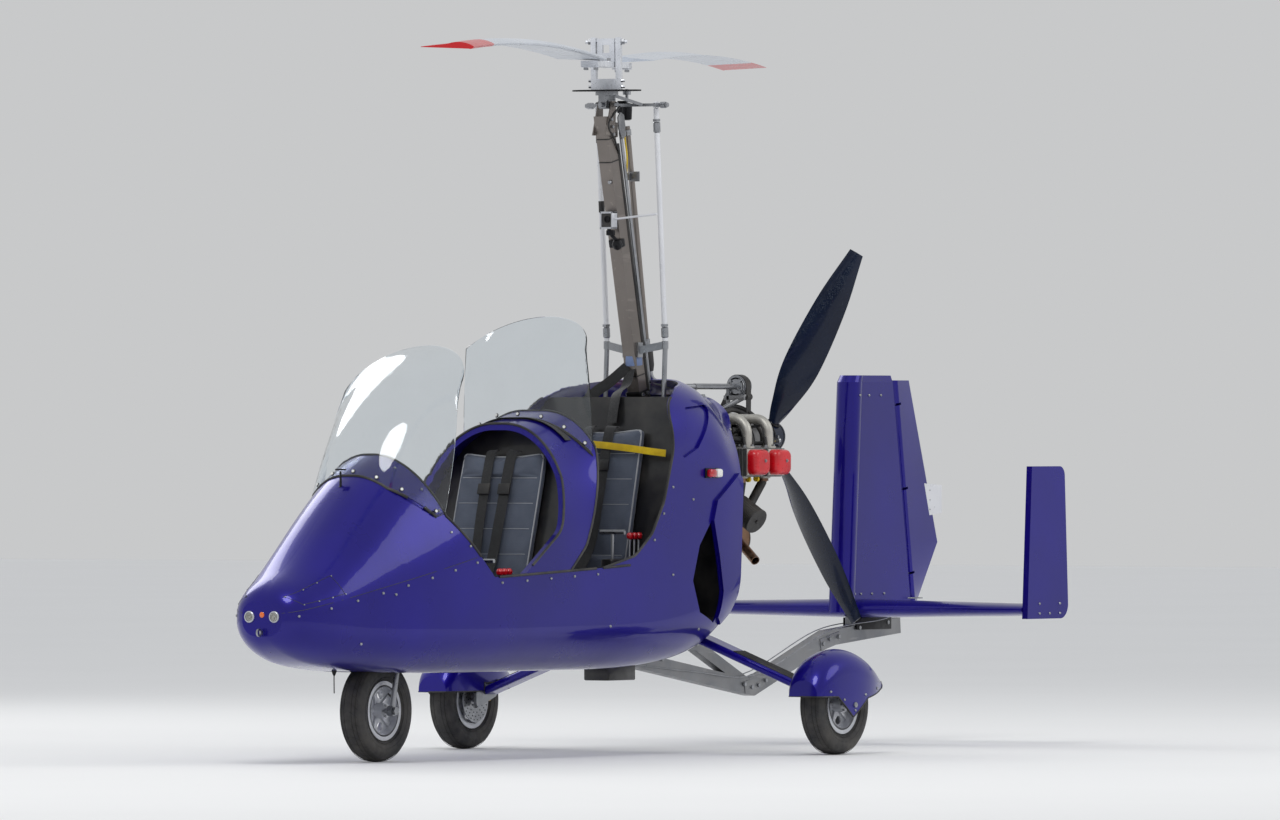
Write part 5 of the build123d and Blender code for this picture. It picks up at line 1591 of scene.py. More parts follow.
@dataclass
class Cushions(Group):
    """The padded seats: puffed by a short cloth simulation between sewn channels."""

    width: float = 0.412
    thick: float = 0.04
    cap: float = 0.015
    frames: int = 20
    voxel: float = 0.0065
    pressure: float = 4.0
    lift: float = 0.0288
    corner: float = 0.03
    held: float = 0.0045

    def build(self) -> None:
        """Makes both seats' cushions and their piping."""
        for name, route in SEAT_ROUTES:
            self._seat(name, [Vector((0.0, y, z)) for y, z in route])

    def _seat(self, name: str, route: list[Vector]) -> None:
        """Makes one seat's two cushions as one piece.

        Args:
            name: The seat's name.
            route: The pan's front, the crease and the back's top.
        """
        pan_run = (route[1] - route[0]).normalized()
        back_run = (route[2] - route[1]).normalized()
        parts = (
            (route[0] + pan_run * 0.066, route[1] - pan_run * 0.081, ACROSS.cross(pan_run), self.width, 3),
            (route[1] + back_run * 0.096, route[1] + back_run * 0.724, ACROSS.cross(back_run),
                self.width - 0.02, 5),)
        shape, piping, stitches = Shape(), [], []
        seams: list[Hit] = []
        for start, end, out, width, channels in parts:
            centre = (start + end) / 2 + out * self.lift
            run = (end - start).normalized()
            length = (end - start).length
            shape.block(centre, (length, width, self.thick), basis(run, out), 0.017)
            half_w, half_l = width / 2 - 0.004, length / 2 - 0.004
            rim = []
            for a, b, quarters in ((-1, -1, 2), (1, -1, 3), (1, 1, 0), (-1, 1, 1)):
                for turn in range(5):
                    angle = math.pi * (turn / 8)
                    corner = Vector((math.cos(angle), math.sin(angle))) * self.corner
                    for _ in range(quarters):
                        corner = Vector((-corner.y, corner.x))
                    rim.append(
                        centre + run * (a * (half_l - self.corner) + corner.x)
                        + ACROSS * (b * (half_w - self.corner) + corner.y) + out * (self.thick / 2 - 0.006))
            piping.append(rim)
            for place in range(1, channels + 1):
                along = centre + run * (length * (place / (channels + 1) - 0.5)) + out * (self.thick / 2)
                stitches.append([along - ACROSS * (width / 2 - 0.02), along + ACROSS * (width / 2 - 0.02)])
                seams.append((along, run))
        piece = self.piece(f"{name}_cushions", shape, SEAT_CLOTH, sharp=180.0)
        self._puff(piece, seams)
        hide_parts(f"{name}_seat_pad")
        self._trim(name, piece, piping, stitches)

    def _puff(self, piece: Piece, seams: list[Hit]) -> None:
        """Fills a cushion with pressure, its channels held down.

        Args:
            piece: The cushion.
            seams: A point on each channel and the way across it.
        """
        remesh = piece.modifiers.new("Even faces", "REMESH")
        remesh.mode = "VOXEL"
        remesh.voxel_size = self.voxel
        self._apply(piece)
        rest = [vert.co.copy() for vert in piece.data.vertices]
        held = piece.vertex_groups.new(name="channels")
        held.add([index for index, point in enumerate(rest)
                  if any(abs((point - at).dot(way)) < self.held and (point - at).length < 0.26
                         for at, way in seams)], 1.0, "REPLACE")
        cloth = piece.modifiers.new("Puff", "CLOTH")
        settings = cloth.settings
        settings.use_pressure = True
        settings.uniform_pressure_force = self.pressure
        settings.vertex_group_mass = "channels"
        settings.effector_weights.gravity = 0.0
        settings.quality = 5
        scene = bpy.context.scene
        scene.frame_start, scene.frame_end = 1, self.frames
        for step in range(1, self.frames + 1):
            scene.frame_set(step)
        self._apply(piece)
        for vert, before in zip(piece.data.vertices, rest):
            moved = vert.co - before
            if moved.length > self.cap:
                vert.co = before + moved * (self.cap / moved.length)
        scene.frame_set(1)
        piece.data.shade_smooth()

    @staticmethod
    def _apply(piece: Piece) -> None:
        """Makes the modifiers' result the piece's own mesh, then removes them.

        Args:
            piece: The piece.
        """
        bpy.context.view_layer.update()
        evaluated = piece.evaluated_get(bpy.context.evaluated_depsgraph_get())
        mesh = bpy.data.meshes.new_from_object(evaluated)
        piece.modifiers.clear()
        old, piece.data = piece.data, mesh
        mesh.name = piece.name
        if old.users == 0:
            bpy.data.meshes.remove(old)

    def _trim(self, name: str, piece: Piece, piping: list[list[Vector]],
              stitches: list[list[Vector]]) -> None:
        """Lays piping on the cushion's rim and thread in its channels.

        Args:
            name: The seat's name.
            piece: The cushions.
            piping: Each rim's points.
            stitches: Each channel's two ends.
        """
        verts = [vert.co.copy() for vert in piece.data.vertices]
        tree = BVHTree.FromPolygons(verts, [list(face.vertices) for face in piece.data.polygons])
        cord, thread = Shape(), Shape()
        for rim in piping:
            line = [tree.find_nearest(point)[0] for point in smooth_path([*rim, rim[0]], 3)[:-1]]
            cord.tube(line, 0.0034, 8, closed=True)
        for start, end in stitches:
            line = [tree.find_nearest(start.lerp(end, step / 24))[0] for step in range(25)]
            thread.tube(line, 0.0016, 6)
        self.piece(f"{name}_piping", cord, PIPING_GREY)
        self.piece(f"{name}_stitching", thread, PIPING_GREY)


@dataclass
class Cockpit(Group):
    """Belts, sticks, levers, knobs and the panel's instruments."""

    belt_width: float = 0.046
    shoulder_belt: tuple = (
        (0.735, 0.03, 0.052), (0.7, 0.066, 0.05), (0.45, 0.074, 0.046), (0.24, 0.078, 0.038))
    lap_belt: tuple = ((0.05, 0.02, 0.222), (0.07, 0.075, 0.175), (0.12, 0.09, 0.09), (0.15, 0.092, 0.028))
    sticks: tuple = (
        ("front", (0.0, -1.47, 0.43), (0.0, -1.4, 0.815)), ("rear", (0.0, -0.62, 0.5), (0.0, -0.575, 0.835)))
    levers: tuple = ((-1.24, 0.6, 0.14), (-0.3, 0.735, 0.11))
    lever_x: float = 0.262
    pedal_lean: float = math.radians(18)
    dials: tuple = ((-0.105, 0.235, 0.04), (0.0, 0.245, 0.04), (0.105, 0.235, 0.04), (-0.15, 0.15, 0.028),
                    (-0.075, 0.15, 0.028), (0.0, 0.15, 0.028), (0.075, 0.15, 0.028), (0.15, 0.15, 0.028))
    switches: tuple = (-0.17, -0.14, -0.11, -0.08, -0.05, 0.05, 0.08, 0.11, 0.14, 0.17)

    def build(self) -> None:
        """Makes the pieces."""
        for name, route in SEAT_ROUTES:
            self._belts(name, *(Vector((0.0, y, z)) for y, z in route))
        self._controls()
        self._panel()
        self._hoop()

    def _belts(self, name: str, pan: Vector, crease: Vector, top: Vector) -> None:
        """Lays shoulder and lap belts with their buckle on one seat.

        Args:
            name: The seat's name.
            pan: The pan's front.
            crease: Where pan and back meet.
            top: The back's top.
        """
        up = (top - crease).normalized()
        out = ACROSS.cross(up)
        ahead = (pan - crease).normalized()
        above = ACROSS.cross(-ahead)
        belts = Shape()
        for _, sign in SIDES:
            path = [crease + up * a + out * b + ACROSS * sign * c for a, b, c in self.shoulder_belt]
            path.append(crease + ahead * 0.13 + above * 0.095 + ACROSS * sign * 0.026)
            belts.strap(smooth_path(path, 6), self.belt_width, 0.003, out)
            lap = [crease + ahead * a + above * b + ACROSS * sign * c for a, b, c in self.lap_belt]
            belts.strap(smooth_path(lap, 6), self.belt_width, 0.003, above)
        self.piece(f"{name}_belts", belts, WEBBING)
        metal = Shape()
        turn = basis(ACROSS, above)
        middle = crease + ahead * 0.145 + above * 0.1
        metal.block(middle, (0.064, 0.052, 0.012), turn, 0.004)
        metal.block(middle + above * 0.007, (0.03, 0.03, 0.006), turn, 0.002)
        self.piece(f"{name}_buckles", metal, SATIN_STEEL)
        slides = Shape()
        for _, sign in SIDES:
            slide = crease + up * 0.565 + out * 0.078 + ACROSS * sign * 0.048
            slides.block(slide, (0.056, 0.044, 0.01), basis(ACROSS, out), 0.003)
        self.piece(f"{name}_slides", slides, BLACK_RUBBER)

    def _controls(self) -> None:
        """Makes sticks, side levers, knobs and pedals."""
        for name, foot, head in self.sticks:
            foot, head = Vector(foot), Vector(head)
            run = (head - foot).normalized()
            stick = Shape().tube([foot, head], 0.011, 16)
            stick.lathe(
                foot - run * 0.02, run, ((0.0, 0.032), (0.012, 0.034), (0.035, 0.02), (0.05, 0.012)), 24)
            self.piece(f"{name}_stick", stick, DARK_STEEL)
            grip = Shape().lathe(
                head - run * 0.09, run,
                ((0.0, 0.015), (0.01, 0.019), (0.03, 0.0165), (0.055, 0.019), (0.085, 0.0165), (0.11, 0.021),
                    (0.125, 0.016), (0.13, 0.0)), 24)
            self.piece(f"{name}_grip", grip, BLACK_RUBBER)
            button = Shape().lathe(head + run * 0.038, run, ((0.0, 0.006), (0.006, 0.006), (0.008, 0.0)), 14)
            self.piece(f"{name}_stick_button", button, RED_ENAMEL)
        levers, knobs, boxes = Shape(), Shape(), Shape()
        for y, z, tee in self.levers:
            boxes.block((self.lever_x, y, z), (0.05, 0.22, 0.1), bevel=0.008)
            foot = Vector((self.lever_x, y - 0.06, z + 0.045))
            levers.tube([foot, foot + UP * tee], 0.0065, 12)
            levers.tube([foot + UP * tee - ACROSS * 0.058, foot + UP * tee + ACROSS * 0.058], 0.0085, 14)
            for place in (0.065, 0.097, 0.129):
                start = Vector((self.lever_x, y + place, z + 0.045))
                end = start + Vector((-0.006, 0.012, 0.092))
                levers.tube([start, end], 0.0045, 10)
                knobs.lathe(
                    end - UP * 0.012, UP,
                    ((0.0, 0.005), (0.006, 0.013), (0.018, 0.015), (0.027, 0.01), (0.03, 0.0)), 18)
        self.piece("lever_boxes", boxes, LINER_BLACK)
        self.piece("side_levers", levers, SATIN_STEEL)
        self.piece("lever_knobs", knobs, RED_ENAMEL)
        pedals, arms, lean = Shape(), Shape(), Matrix.Rotation(self.pedal_lean, 3, "X")
        for place in (-0.105, 0.105):
            pedals.block((place, -2.02, 0.56), (0.085, 0.016, 0.12), lean, 0.006)
            for ridge in range(5):
                pedals.block((place, -2.01 + ridge * 0.0062, 0.523 + ridge * 0.019), (0.078, 0.004, 0.005),
                             lean, 0.001)
            arms.tube([(place, -2.035, 0.6), (place, -2.055, 0.4)], 0.009, 12)
        arms.tube([(-0.16, -2.055, 0.405), (0.16, -2.055, 0.405)], 0.011, 12)
        self.piece("pedals", pedals, SATIN_STEEL)
        self.piece("pedal_arms", arms, DARK_STEEL)

    def _panel(self) -> None:
        """Sets instruments and switches on the panel."""
        low = Vector((0.0, -1.655, 0.88))
        up = (Vector((0.0, -1.701, 1.23)) - low).normalized()
        out = ACROSS.cross(up) * math.copysign(1.0, ACROSS.cross(up).y)
        faces, rims, marks, hands, glass = Shape(), Shape(), Shape(), Shape(), Shape()
        for x, height, radius in self.dials:
            centre = low + up * height + ACROSS * x + out * 0.001
            faces.lathe(centre, out, ((0.0, 0.0), (0.0, radius), (0.004, radius), (0.004, 0.0)), 32)
            rims.lathe(centre, out, ((0.0, radius), (0.0, radius + 0.004), (0.009, radius + 0.003),
                                     (0.01, radius - 0.001), (0.0, radius)), 32)
            for tick in range(12):
                angle = math.radians(-140 + tick * 280 / 11)
                way = up * math.cos(angle) + ACROSS * math.sin(angle)
                marks.block(centre + way * radius * 0.82 + out * 0.0045, (radius * 0.16, 0.0018, 0.0008),
                            basis(way, out), 0.0)
            angle = math.radians(-70 + 37 * (x * 40 % 3))
            way = up * math.cos(angle) + ACROSS * math.sin(angle)
            hands.block(
                centre + way * radius * 0.28 + out * 0.0056, (radius * 0.86, 0.0028, 0.001), basis(way, out),
                0.0)
            hands.lathe(centre, out, ((0.0045, 0.0), (0.0045, 0.004), (0.0072, 0.0035), (0.0072, 0.0)), 14)
            glass.lathe(
                centre, out,
                ((0.0078, 0.0), (0.0078, radius - 0.0002), (0.0092, radius - 0.0004), (0.0092, 0.0)), 32)
        for label, shape, finish in (("dial_faces", faces, DIAL_BLACK), ("dial_rims", rims, DARK_STEEL),
                                     ("dial_ticks", marks, DIAL_WHITE), ("dial_hands", hands, ORANGE_LENS),
                                     ("dial_glass", glass, LAMP_LENS)):
            self.piece(label, shape, finish)
        switches = [(low + up * 0.075 + ACROSS * x + out * 0.004, out) for x in self.switches]
        self.heads("panel_switches", switches, 0.0055, 0.01, sides=12, top=0.9)
        self.heads(
            "switch_toggles", [(p + out * 0.01, (out + up * 0.4).normalized()) for p, _ in switches], 0.0026,
            0.018, DARK_STEEL, sides=8, top=1.1)

    def _hoop(self) -> None:
        """Puts the belt over the hoop and the yellow strap in place."""
        over = [hit[0] for hit in (self.skin.above(0.012 * step - 0.24, -0.655 + 0.0002 * step, 0.003)
                                   for step in range(41)) if hit]
        belt = Shape().strap(over, 0.05, 0.003, over[0] - Vector((0, over[0].y, 0.9)))
        self.piece("hoop_belt", belt, WEBBING)
        strap = Shape().strap(
            smooth_path(
                ((-0.045, -0.082, 1.243), (0.05, -0.088, 1.236), (0.17, -0.086, 1.224), (0.24, -0.068, 1.214),
                    (0.315, -0.052, 1.205)), 8), 0.028, 0.003, -AFT)
        self.piece("yellow_strap", strap, YELLOW_WEBBING)


def tyre_middle(name: str) -> float:
    """How far aft a tyre's centre is."""
    low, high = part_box(f"{name}_tyre")
    return (low.y + high.y) / 2


@dataclass
class Wheels(Group):
    """Tread lines and disc-hole dots of painted shade, hubs, bolts, valves and brakes of the three wheels."""

    radius: float = 0.2
    track: float = 0.89
    axle_y: float = 0.3
    sipe_shade: int = 36
    groove_shade: tuple = (0.0, -0.017, 0.017, -0.033, 0.033)
    wall_rings: tuple = ((0.0505, 0.148), (0.047, 0.128))
    hole_rings: tuple = ((0.052, 14), (0.068, 18), (0.082, 22))
    crown: Triple = (0.1994, 0.044, 0.014)

    def build(self) -> None:
        """Dresses each wheel."""
        for name, body, x, y in (("nose", Body.NOSE_WHEEL, 0.0, tyre_middle("nose")),
                                 ("left", Body.LEFT_WHEEL, self.track, self.axle_y),
                                 ("right", Body.RIGHT_WHEEL, -self.track, self.axle_y)):
            centre = Vector((x, y, self.radius))
            self._tread(name, body, centre)
            self._hub(name, body, centre)
            if name != "nose":
                self._brake(name, body, centre, 1.0 if x > 0 else -1.0)

    def _tread(self, name: str, body: Body, centre: Vector) -> None:
        """Lays near-black lines round the tyre as painted shade in each groove and curved sipe.

        Args:
            name: The wheel's name.
            body: The wheel's body.
            centre: The tyre's centre.
        """
        # Painted shade: near-black lines on the tyre's surface where each groove and sipe is.
        groove_shade = Shape()
        for offset in self.groove_shade:
            reach = self.radius - 0.001 - abs(offset) ** 2 * 3.2
            groove_shade.tube(circle(centre + ACROSS * offset, reach, 96, AFT, UP), 0.0011, 6, closed=True)
        self.piece(f"{name}_grooves", groove_shade, GROOVE_SHADE, body, "tyre_rubber")
        sipe_shade = Shape()
        for step in range(self.sipe_shade):
            base = 2 * math.pi * step / self.sipe_shade
            for side in (-1.0, 1.0):
                path = []
                for part in range(7):
                    share = part / 6
                    across = side * (0.004 + 0.036 * share)
                    angle = base + 0.1 * share ** 1.6 * 1.4
                    reach = self._surface(across)
                    path.append(centre + Vector((across, math.cos(angle) * reach, math.sin(angle) * reach)))
                sipe_shade.tube(path, 0.001, 4)
        self.piece(f"{name}_sipes", sipe_shade, GROOVE_SHADE, body, "tyre_rubber")
        rings = Shape()
        for side in (-1.0, 1.0):
            for across, reach in self.wall_rings:
                rings.tube(
                    circle(centre + ACROSS * side * across, reach, 72, AFT, UP), 0.0016, 6, closed=True)
        self.piece(f"{name}_wall_rings", rings, TYRE_RUBBER, body)

    def _surface(self, across: float) -> float:
        """The tyre's radius at a place across it, as on the solid's crown arc.

        Args:
            across: The place across the tyre.

        Returns:
            The radius there.
        """
        top, half, drop = self.crown
        arc = (half ** 2 + drop ** 2) / (2 * drop)
        return top - arc + math.sqrt(max(arc ** 2 - across ** 2, 0.0))

    def _hub(self, name: str, body: Body, centre: Vector) -> None:
        """Adds spoke ribs, a hub cap, bolts and the valve.

        Args:
            name: The wheel's name.
            body: The wheel's body.
            centre: The wheel's centre.
        """
        ribs, bolts = Shape(), []
        for out in circle((0.0, 0.0, 0.0), 1.0, 5, AFT, UP, 0.5):
            for side in (-1.0, 1.0):
                start, end = centre + out * 0.031, centre + out * 0.0955
                face = ACROSS * side
                ribs.block((start + end) / 2 + face * 0.008, (0.068, 0.02, 0.01), basis(out, face), 0.004)
                bolts.append((centre + out * 0.0225 + face * 0.0475, face))
        for side in (-1.0, 1.0):
            face = ACROSS * side
            ribs.lathe(
                centre + face * 0.04, face,
                ((0.0, 0.096), (0.0, 0.101), (-0.006, 0.1012), (-0.006, 0.0965), (0.0, 0.096)), 48)
        self.piece(f"{name}_spoke_ribs", ribs, RIM_SILVER, body)
        self.bolts(f"{name}_hub_bolts", bolts, 0.0046, 0.006, body)
        valve = Shape()
        valve.tube(
            [centre + Vector((0.018, 0.06, 0.066)), centre + Vector((0.033, 0.052, 0.058))], 0.0032, 10)
        valve.tube(
            [centre + Vector((0.031, 0.053, 0.059)), centre + Vector((0.038, 0.049, 0.055))], 0.0042, 10)
        self.piece(f"{name}_valve", valve, BLACK_RUBBER, body)

    def _brake(self, name: str, body: Body, centre: Vector, sign: float) -> None:
        """Adds the brake disc to the wheel, with dark dots on it as painted shade in each hole, and its
        caliper to the axle.

        Args:
            name: The wheel's name.
            body: The wheel's body.
            centre: The wheel's centre.
            sign: 1 for port, -1 for starboard.
        """
        inward = ACROSS * -sign
        disc = Shape().lathe(centre + inward * 0.052, inward, band(0.034, 0.092, 0.004), 48)
        self.piece(f"{name}_brake_disc", disc, SATIN_STEEL, body)
        # Dark dots on the disc as painted shade where each hole is.
        hole_shade = []
        for ring, count in self.hole_rings:
            hole_shade += [
                (at, inward) for at in circle(centre + inward * 0.0562, ring, count, AFT, UP, ring * 37)]
        self.heads(f"{name}_disc_holes", hole_shade, 0.003, 0.0006, DARK_STEEL, body=body, sides=8, top=1.0)
        at = centre + Vector((0.0, 0.074, 0.024)) + inward * 0.0625
        caliper = Shape().block(at, (0.01, 0.046, 0.062), bevel=0.005)
        self.piece(f"{name}_caliper", caliper, GOLD_ANODISED)
        hose = [at + Vector((-sign * x, y, z)) for x, y, z in
                ((0.0, 0.0, 0.03), (0.01, 0.02, 0.055), (0.05, 0.03, 0.05), (0.1, 0.012, 0.022))]
        self.tube(f"{name}_brake_hose", hose, 0.0032, BLACK_RUBBER)


@dataclass
class Gear(Group):
    """The gear bow's grip strip, its clamps, and the spats' edges and screws."""

    spat_screws: tuple = ((0.13, 0.255), (0.22, 0.222), (0.3, 0.178), (0.385, 0.24), (0.52, 0.262))

    def build(self) -> None:
        """Makes the pieces."""
        bow = Skin("gear_bow")
        strips, edges, screws = Shape(), Shape(), []
        for _, sign in SIDES:
            line = [
                found[0]
                for found in (bow.above(sign * (0.4 + 0.012 * step), 0.358, 0.0007) for step in range(31))
                if found]
            strips.strap(line, 0.074, 0.0022, UP)
            for edge in (-0.041, 0.041):
                edges.tube([point + AFT * edge for point in line], 0.0014, 6)
        self.piece("bow_grip_strips", strips, GRIP_TAPE)
        self.piece("bow_strip_edges", edges, BLACK_RUBBER)
        clamp = Shape()
        for x in (-0.085, 0.085):
            clamp.block((x, 0.358, 0.4905), (0.04, 0.118, 0.008), bevel=0.002)
            for y in (0.318, 0.398):
                screws.append((Vector((x, y, 0.4965)), UP))
        self.piece("bow_clamps", clamp, SATIN_STEEL)
        self.bolts("bow_clamp_bolts", screws, 0.007, 0.008)
        for side, sign in SIDES:
            name = f"{side}_spat"
            lines = sharp_lines(name, lambda p: p.z < 0.3, 55.0)
            self.tubes(f"{name}_edge", lines, 0.0026)
            skin = Skin(name)
            heads = skin.spots(self.spat_screws, sign, 0.001)
            self.heads(f"{name}_screws", heads, 0.0055, 0.0036, sides=12)
            big = skin.side(0.3, 0.2, sign, 0.001)
            if big:
                cap = Shape().lathe(
                    big[0], big[1], ((-0.002, 0.012), (0.004, 0.012), (0.007, 0.009), (0.008, 0.0)), 6)
                self.piece(f"{side}_axle_nut", cap, SATIN_STEEL)
        fork = Shape()
        for _, sign in SIDES:
            fork.lathe((sign * 0.09, tyre_middle("nose"), 0.2), ACROSS * sign, puck(0.017, 0.008), 6)
        self.piece("nose_axle_nuts", fork, SATIN_STEEL, Body.NOSE_FORK)


@dataclass
class MastFittings(Group):
    """What hangs on the mast, such as cables, straps and the camera, and the control rods' fittings."""

    top: Pair = (-0.026, 2.556)
    lean: float = 0.227
    ties: tuple = (2.47, 2.378, 1.52)
    clamp: float = 1.445
    bolt_rows: tuple = ((0.03, (0.62, 0.74, 1.33, 0.8)), (0.0348, (2.485, 2.515, 2.545)))

    def axis_y(self, z: float) -> float:
        """The mast's centre line at a height."""
        return self.top[0] + (self.top[1] - z) * self.lean

    def build(self) -> None:
        """Makes the pieces."""
        up = Vector((0.0, -self.lean, 1.0)).normalized()
        fore = -ACROSS.cross(up) * math.copysign(1.0, ACROSS.cross(up).y)
        ties, clamps, bolts = Shape(), Shape(), []
        for z in self.ties:
            centre = Vector((0.0, self.axis_y(z), z))
            rim = [
                centre + ACROSS * a * 0.03 + fore * b * 0.032
                for a, b in ((-1, -0.8), (-0.85, -1), (0.85, -1), (1, -0.8), (1, 0.8), (0.85, 1), (-0.85, 1),
                    (-1, 0.8))]
            ties.tube(rim, 0.0022, 6, closed=True)
        self.piece("mast_ties", ties, BLACK_RUBBER)
        centre = Vector((0.0, self.axis_y(self.clamp), self.clamp))
        clamps.block(centre, (0.066, 0.069, 0.026), basis(ACROSS, up), 0.003)
        bolts += [(centre + ACROSS * side * 0.034 + fore * reach, ACROSS * side)
                  for side in (-1.0, 1.0) for reach in (-0.018, 0.018)]
        self.piece("mast_clamps", clamps, DARK_STEEL)
        for half, heights in self.bolt_rows:
            bolts += [
                (Vector((side * half, self.axis_y(z), z)), ACROSS * side) for z in heights
                for side in (-1.0, 1.0)]
        self.bolts("mast_bolts", bolts, 0.0068, 0.008)
        self._camera(up, fore)
        self._cables(fore)
        self._rod_fittings()

    def _camera(self, up: Vector, fore: Vector) -> None:
        """Makes the small camera on its ball clamp and the thin rod beside it.

        Args:
            up: The way up the mast.
            fore: The way ahead, square to the mast.
        """
        eye, ball = Vector((0.004, 0.005, 2.14)), Vector((0.026, 0.036, 2.043))
        arm = Shape()
        arm.lathe(
            ball - up * 0.022, up,
            ((0.0, 0.006), (0.006, 0.016), (0.022, 0.022), (0.038, 0.016), (0.044, 0.006)), 24)
        arm.block(ball + Vector((-0.016, 0.022, 0.006)), (0.06, 0.034, 0.034), basis(ACROSS, up), 0.005)
        arm.tube([ball + up * 0.016, Vector((0.008, 0.012, 2.086)), eye - UP * 0.03], 0.0075, 12)
        arm.block((0.01, 0.012, 2.09), (0.034, 0.02, 0.022), bevel=0.004)
        self.piece("camera_clamp", arm, DARK_STEEL)
        case = Shape()
        for side in (-1.0, 1.0):
            case.block(eye + ACROSS * side * 0.027, (0.008, 0.036, 0.07), bevel=0.002)
            case.block(eye + UP * side * 0.031, (0.062, 0.036, 0.008), bevel=0.002)
        self.piece("small_camera_case", case, RIM_SILVER)
        body = Shape().block(eye, (0.048, 0.03, 0.056), bevel=0.004)
        self.piece("small_camera", body, LINER_BLACK)
        lens = Shape().lathe(
            eye - AFT * 0.015 + Vector((0.006, 0.0, 0.004)), -AFT,
            ((0.0, 0.014), (0.006, 0.014), (0.006, 0.0105), (0.003, 0.0095), (0.003, 0.0)), 20)
        self.piece("small_camera_lens", lens, DARK_STEEL)
        self.tube(
            "thin_rod", (eye + Vector((0.026, 0.0, 0.004)), (0.226, 0.02, 2.164)), 0.0045, WHITE_PAINT,
            smooth=False)
        self.heads(
            "mast_front_bolt", [(Vector((0.0135, self.axis_y(2.293) - 0.0325, 2.293)), fore)], 0.0085, 0.006,
            sides=16)

    def _cables(self, fore: Vector) -> None:
        """Runs cables, the prerotator's shaft and a belt along the mast.

        Args:
            fore: The way ahead, square to the mast.
        """
        def on(z: float, across: float, ahead: float) -> Vector:
            """A point beside the mast's centre line."""
            return Vector((across, self.axis_y(z), z)) + fore * ahead

        self.tube(
            "mast_cable", [on(z, 0.026, -0.038) for z in (2.44, 2.2, 1.9, 1.6, 1.3, 1.05, 0.85)], 0.0075,
            BLACK_RUBBER)
        self.tube("mast_thin_cable", [on(z, 0.012, -0.036) for z in (2.42, 2.1, 1.8, 1.5, 1.2, 0.95)], 0.0042,
                  BLACK_RUBBER)
        self.tube("mast_conduit", [on(2.48, 0.030, -0.064), on(2.0, 0.030, -0.058), on(1.62, 0.030, -0.052),
                                   on(1.45, 0.03, -0.046)], 0.0075, SATIN_STEEL)
        shaft = ((0.0, 0.147, 2.52), (0.0, 0.292, 1.64))
        self.tube("prerotator_shaft", shaft, 0.012, MAST_STEEL, sides=20, smooth=False)
        run = (Vector(shaft[1]) - Vector(shaft[0])).normalized()
        joints = Shape()
        for at in (0.012, 0.865):
            joints.lathe(Vector(shaft[0]) + run * at, run, ((0.0, 0.0118), (0.002, 0.0155), (0.024, 0.0155),
                                                            (0.026, 0.0118)), 20)
        self.piece("shaft_sleeves", joints, SATIN_STEEL)
        boot = Shape().lathe(
            Vector(shaft[1]) - run * 0.004, run,
            ((0.0, 0.012), (0.006, 0.021), (0.03, 0.024), (0.085, 0.024), (0.11, 0.019), (0.112, 0.0)), 24)
        self.piece("shaft_boot", boot, BLACK_RUBBER)
        self.tube(
            "shaft_link",
            ((0.0, 0.312, 1.545), (0.008, 0.33, 1.5), (0.03, 0.42, 1.476), (0.055, 0.56, 1.474)), 0.011,
            SATIN_STEEL)
        self.tube(
            "yellow_lead",
            ((0.012, 0.112, 2.478), (0.018, 0.12, 2.4), (0.012, 0.126, 2.335), (0.004, 0.13, 2.305)), 0.0034,
            YELLOW_WEBBING)
        self.tube("sensor_lead", (on(2.56, 0.034, -0.020), on(2.58, 0.034, -0.075), on(2.53, 0.034, 0.020),
                                  on(2.46, 0.034, -0.01), on(2.4, 0.031, -0.036)), 0.0036, BLACK_RUBBER)
        pear = Shape().panel(
            [on(z, 0.036, ahead)
                for z, ahead in ((2.455, -0.052), (2.455, -0.072), (2.5, -0.088), (2.545, -0.088),
                    (2.56, -0.066), (2.545, -0.044), (2.5, -0.04))], ACROSS * 0.006, 0.001)
        self.piece("head_plate", pear, KEEL_STEEL)
        flag = Shape().block((0.03, 0.158, 2.318), (0.046, 0.006, 0.04), bevel=0.001)
        flag.block((0.006, 0.15, 2.318), (0.016, 0.02, 0.03), bevel=0.003)
        self.piece("sensor_bracket", flag, KEEL_STEEL)
        strap = Shape().strap(
            [on(1.578 + 0.004 * math.sin(a), 0.0, 0.0) + ACROSS * math.cos(a) * 0.0335
                + fore * math.sin(a) * 0.0345 for a in (math.pi * 2 * s / 24 for s in range(25))], 0.04,
            0.0022, ACROSS)
        self.piece("mast_strap", strap, MAST_TAPE)
        belt = Shape()
        belt.strap(
            smooth_path(
                (on(1.545, 0.0, 0.036), (0.01, 0.125, 1.478), (0.02, 0.046, 1.447), (0.026, 0.014, 1.4),
                    (0.03, -0.012, 1.325)), 8), 0.05, 0.003, fore)
        belt.strap(smooth_path((on(1.56, -0.01, 0.036), (-0.07, 0.13, 1.492), (-0.13, 0.095, 1.44),
                                (-0.165, 0.055, 1.37)), 8), 0.044, 0.003, fore)
        self.piece("mast_belt", belt, WEBBING)

    def _rod_fittings(self) -> None:
        """Adds sleeves, nuts and tape to the control rods."""
        sleeves, tapes, nuts = Shape(), Shape(), Shape()
        for side, sign in SIDES:
            foot, head = Vector((sign * 0.14, 0.214, 1.657)), Vector((sign * 0.14, 0.147, 2.59))
            run = (head - foot).normalized()
            for at in (0.012, 0.838):
                sleeves.lathe(
                    foot + run * at, run, ((0.0, 0.011), (0.004, 0.0145), (0.04, 0.0145), (0.044, 0.011)), 20)
                nuts.lathe(foot + run * (at + 0.046), run, band(0.0112, 0.0165, 0.009), 6)
            if side == "right":
                for at in (0.52, 0.8):
                    tapes.lathe(foot + run * at, run, band(0.0109, 0.0122, 0.045), 20)
        self.piece("rod_sleeves", sleeves, SATIN_STEEL)
        self.piece("rod_nuts", nuts, SATIN_STEEL)
        self.piece("rod_tapes", tapes, BLACK_RUBBER)


